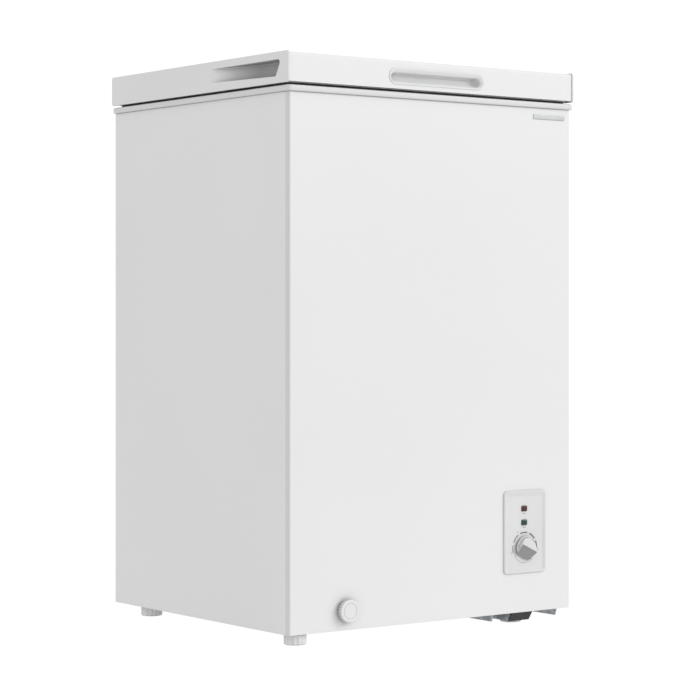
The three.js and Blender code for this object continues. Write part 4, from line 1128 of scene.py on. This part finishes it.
def hinge(side):
    for leaf in ("cabinet", "lid"):
        refine(f"hinge_leaf_{leaf}_{side}", "zinc_steel", 0.35 * MM)
    node = "hinge_pin_" + side
    low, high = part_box(node)
    _, y, z = middle(node)
    radius, long = (high.z - low.z) / 2 / MM, (high.x - low.x) / MM
    chamfer = radius * 0.25
    rows = [(0, 0), (radius * 0.8, 0), (radius, chamfer), (radius, long - chamfer),
            (radius * 0.8, long), (0, long)]
    stand_in(turned("pin_" + side, rows, (low.x, y, z), "x", 32), "zinc_steel", node)
    for leaf in ("cabinet", "lid"):
        for which in ("a", "b"):
            node = f"hinge_screw_{leaf}_{side}_{which}"
            x, _, z = middle(node)
            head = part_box(node)[1].y - 2.6 * MM
            rows = [(0, -9.8), (0.6, -9.6), (1.6, -8), (1.6, 0.3), (3.7, 0.3), (4.0, 0.6), (3.95, 1.1),
                    (3.5, 1.8), (2.6, 2.35), (1.4, 2.6), (0, 2.6)]
            screw = turned("screw", rows, (x, head, z), "y", 32)
            for wide, tall in (mm(2.0, 0.42), mm(0.42, 2.0)):
                carve(screw, block("cross", (x - wide, head + 1.3 * MM, z - tall),
                                   (x + wide, head + 3 * MM, z + tall)))
            smooth(screw, 35)
            screw.name = f"screw_{leaf}_{side}_{which}"
            stand_in(screw, "zinc_steel", node)


# ---------------------------------------------------------------- basket
def basket():
    low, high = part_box("wire_basket")
    thick, thin = 1.6 * MM, 1.15 * MM
    x0, x1 = low.x + thick, high.x - thick
    front, back = low.y + 8 * MM, high.y - 8 * MM
    y0, y1 = front + 3.2 * MM, back - 3.2 * MM
    rail = high.z - 2.4 * MM
    hook = high.z - 1.4 * MM
    bottom = low.z + 4.8 * MM
    rim = high.z - 17.9 * MM
    floor = low.z + 1.4 * MM
    corner = 10 * MM
    wires = []
    for z in (bottom, (bottom + rim) / 2, rim):
        points = bent([(x0, y0, z), (x1, y0, z), (x1, y1, z), (x0, y1, z)], corner, 6, True)
        wires.append(tube("ring", points, thick if z == rim else thin + 0.2 * MM, 4, True))
    across = 7
    for i in range(across):
        x = x0 + corner * 0.9 + (x1 - x0 - corner * 1.8) * i / (across - 1)
        hooked = i in (0, across - 1)
        size = 1.4 * MM if hooked else thin
        near, far = front + size, back - size
        if hooked:
            route = [(x, low.y + size, hook), (x, near, hook), (x, near, floor), (x, far, floor),
                     (x, far, hook), (x, high.y - size, hook)]
        else:
            route = [(x, near, rim), (x, near, floor), (x, far, floor), (x, far, rim)]
        wires.append(tube("across", bent(route, 4 * MM, 5), size, 3))
    along = 15
    for i in range(along):
        y = y0 + corner * 1.1 + (y1 - y0 - corner * 2.2) * i / (along - 1)
        level = low.z + 3.6 * MM
        route = [(low.x + thin, y, rim), (low.x + thin, y, level), (high.x - thin, y, level),
                 (high.x - thin, y, rim)]
        wires.append(tube("along", bent(route, 5 * MM, 5), thin, 3))
    for y in (low.y + 2.1 * MM, high.y - 2.1 * MM):
        wires.append(tube("rail", [Vector((x0 + 3 * MM, y, rail)), Vector((x1 - 3 * MM, y, rail))],
                          1.45 * MM, 4))
    stand_in(smooth(join("basket", *wires), 60), "coated_wire", "wire_basket")


cabinet_wrap()
cabinet_back()
collar()
tub()
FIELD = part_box("panel_bezel")[0].y + 2.3 * MM  # the sunken face that carries the print
bezel(FIELD)
for LENS in LENSES:
    lens(LENS)
knob()
dial_marks(FIELD)
badge()
drain_cap()
drain_plug()
for PLACE in ("front_left", "rear_left", "front_right", "rear_right"):
    foot(PLACE)
refine("bottom_panel", "galvanised_steel", 0.15 * MM)
refine("base_plate", "galvanised_steel", 0.2 * MM)
refine("foot_bracket_front", "black_paint", 0.3 * MM)
refine("thermostat_body", "black_plastic", 0.6 * MM)
refine("drain_tube", "white_plastic", 0.25 * MM)
grille()
gland()
compressor()
pipework()
refine("start_relay_box", "black_plastic", 2.5 * MM)
for PLACE in ("front_left", "front_right", "rear_left", "rear_right"):
    grommet(PLACE)
lid_skin()
end_cap("right")
end_cap("left")
handle()
gasket()
lid_pan()
hinge("left")
hinge("right")
basket()

# CAD nodes that stay: the foam and the coils, out of sight inside the walls.
for node, slot in (("cabinet_foam", "insulation_foam"), ("lid_foam", "insulation_foam"),
                   ("evaporator_coil", "copper"), ("condenser_coil", "copper")):
    dress(frame["nodes"][node], slot)


# ---------------------------------------------------------------- stage
AMBIENT = 0.76
GROUND = 0.735  # the floor's own glow, for light that comes back from it
BACKDROP = 1.05
FLOOR_SEEN = (1.04, 0.96)  # the floor's glow and its share, for the camera
KEY = ("key", (5.0, -6.0, 4.2), 4.5, 214.0)  # name, place, width, power


def studio():
    world = bpy.data.worlds.new("studio")
    bpy.context.scene.world = world
    world.use_nodes = True
    tree = world.node_tree
    out = tree.nodes["World Output"]
    ambient = tree.nodes["Background"]
    ambient.inputs["Color"].default_value = (1.0, 0.997, 0.99, 1)
    ambient.inputs["Strength"].default_value = AMBIENT
    backdrop = tree.nodes.new("ShaderNodeBackground")
    backdrop.inputs["Color"].default_value = (1, 1, 1, 1)
    backdrop.inputs["Strength"].default_value = BACKDROP
    seen = tree.nodes.new("ShaderNodeLightPath")
    mix = tree.nodes.new("ShaderNodeMixShader")
    tree.links.new(seen.outputs["Is Camera Ray"], mix.inputs["Fac"])
    tree.links.new(ambient.outputs["Background"], mix.inputs[1])
    tree.links.new(backdrop.outputs["Background"], mix.inputs[2])
    tree.links.new(mix.outputs["Shader"], out.inputs["Surface"])

    reach, corner, thick = 30, 12, 0.02
    floor = loft("floor", [plan_loop(-reach, -reach, reach, reach, corner, z, 6) for z in (0.0, -thick)])
    look = Look("floor_paper", 0.8)
    look.paint(look.noise(3, 3), (0.94, 0.94, 0.94), (0.96, 0.96, 0.96))
    length = look.node("ShaderNodeVectorMath", operation="LENGTH")
    look.link(look.place, length.inputs[0])
    seen = look.node("ShaderNodeLightPath").outputs["Is Camera Ray"]
    strength, share = FLOOR_SEEN
    far = look.spread(length.outputs["Value"], 0.55, 1.0, 0.3, 0.8)
    fade = look.clamped("MAXIMUM", far, look.spread(seen, 0.0, share))
    glow = look.node("ShaderNodeEmission")
    glow.inputs["Color"].default_value = (1, 1, 1, 1)
    look.link(look.spread(seen, GROUND, strength), glow.inputs["Strength"])
    blend = look.node("ShaderNodeMixShader")
    look.link(fade, blend.inputs["Fac"])
    look.link(look.shader.outputs["BSDF"], blend.inputs[1])
    look.link(glow.outputs["Emission"], blend.inputs[2])
    look.link(blend.outputs["Shader"], look.tree.nodes["Material Output"].inputs["Surface"])
    floor.data.materials.append(look.material)

    name, spot, size, power = KEY
    lamp = bpy.data.lights.new(name, "AREA")
    lamp.shape = "DISK"
    lamp.size = size
    lamp.energy = power
    holder = new_object(name, lamp)
    holder.location = spot
    holder.rotation_euler = (Vector((0, 0, 0.5)) - Vector(spot)).to_track_quat("-Z", "Y").to_euler()


def camera():
    heading = math.radians(36.58)
    data = bpy.data.cameras.new("camera")
    data.lens = 117.72
    data.sensor_width = 36
    data.shift_y = -0.0554
    data.clip_end = 100
    holder = new_object("camera", data)
    holder.location = (-2.1388, -2.90465, 0.4784)
    holder.rotation_euler = (math.pi / 2, 0, -heading)
    bpy.context.scene.camera = holder


studio()
camera()
bpy.context.scene.view_settings.view_transform = "Standard"

bpy.context.view_layer.update()
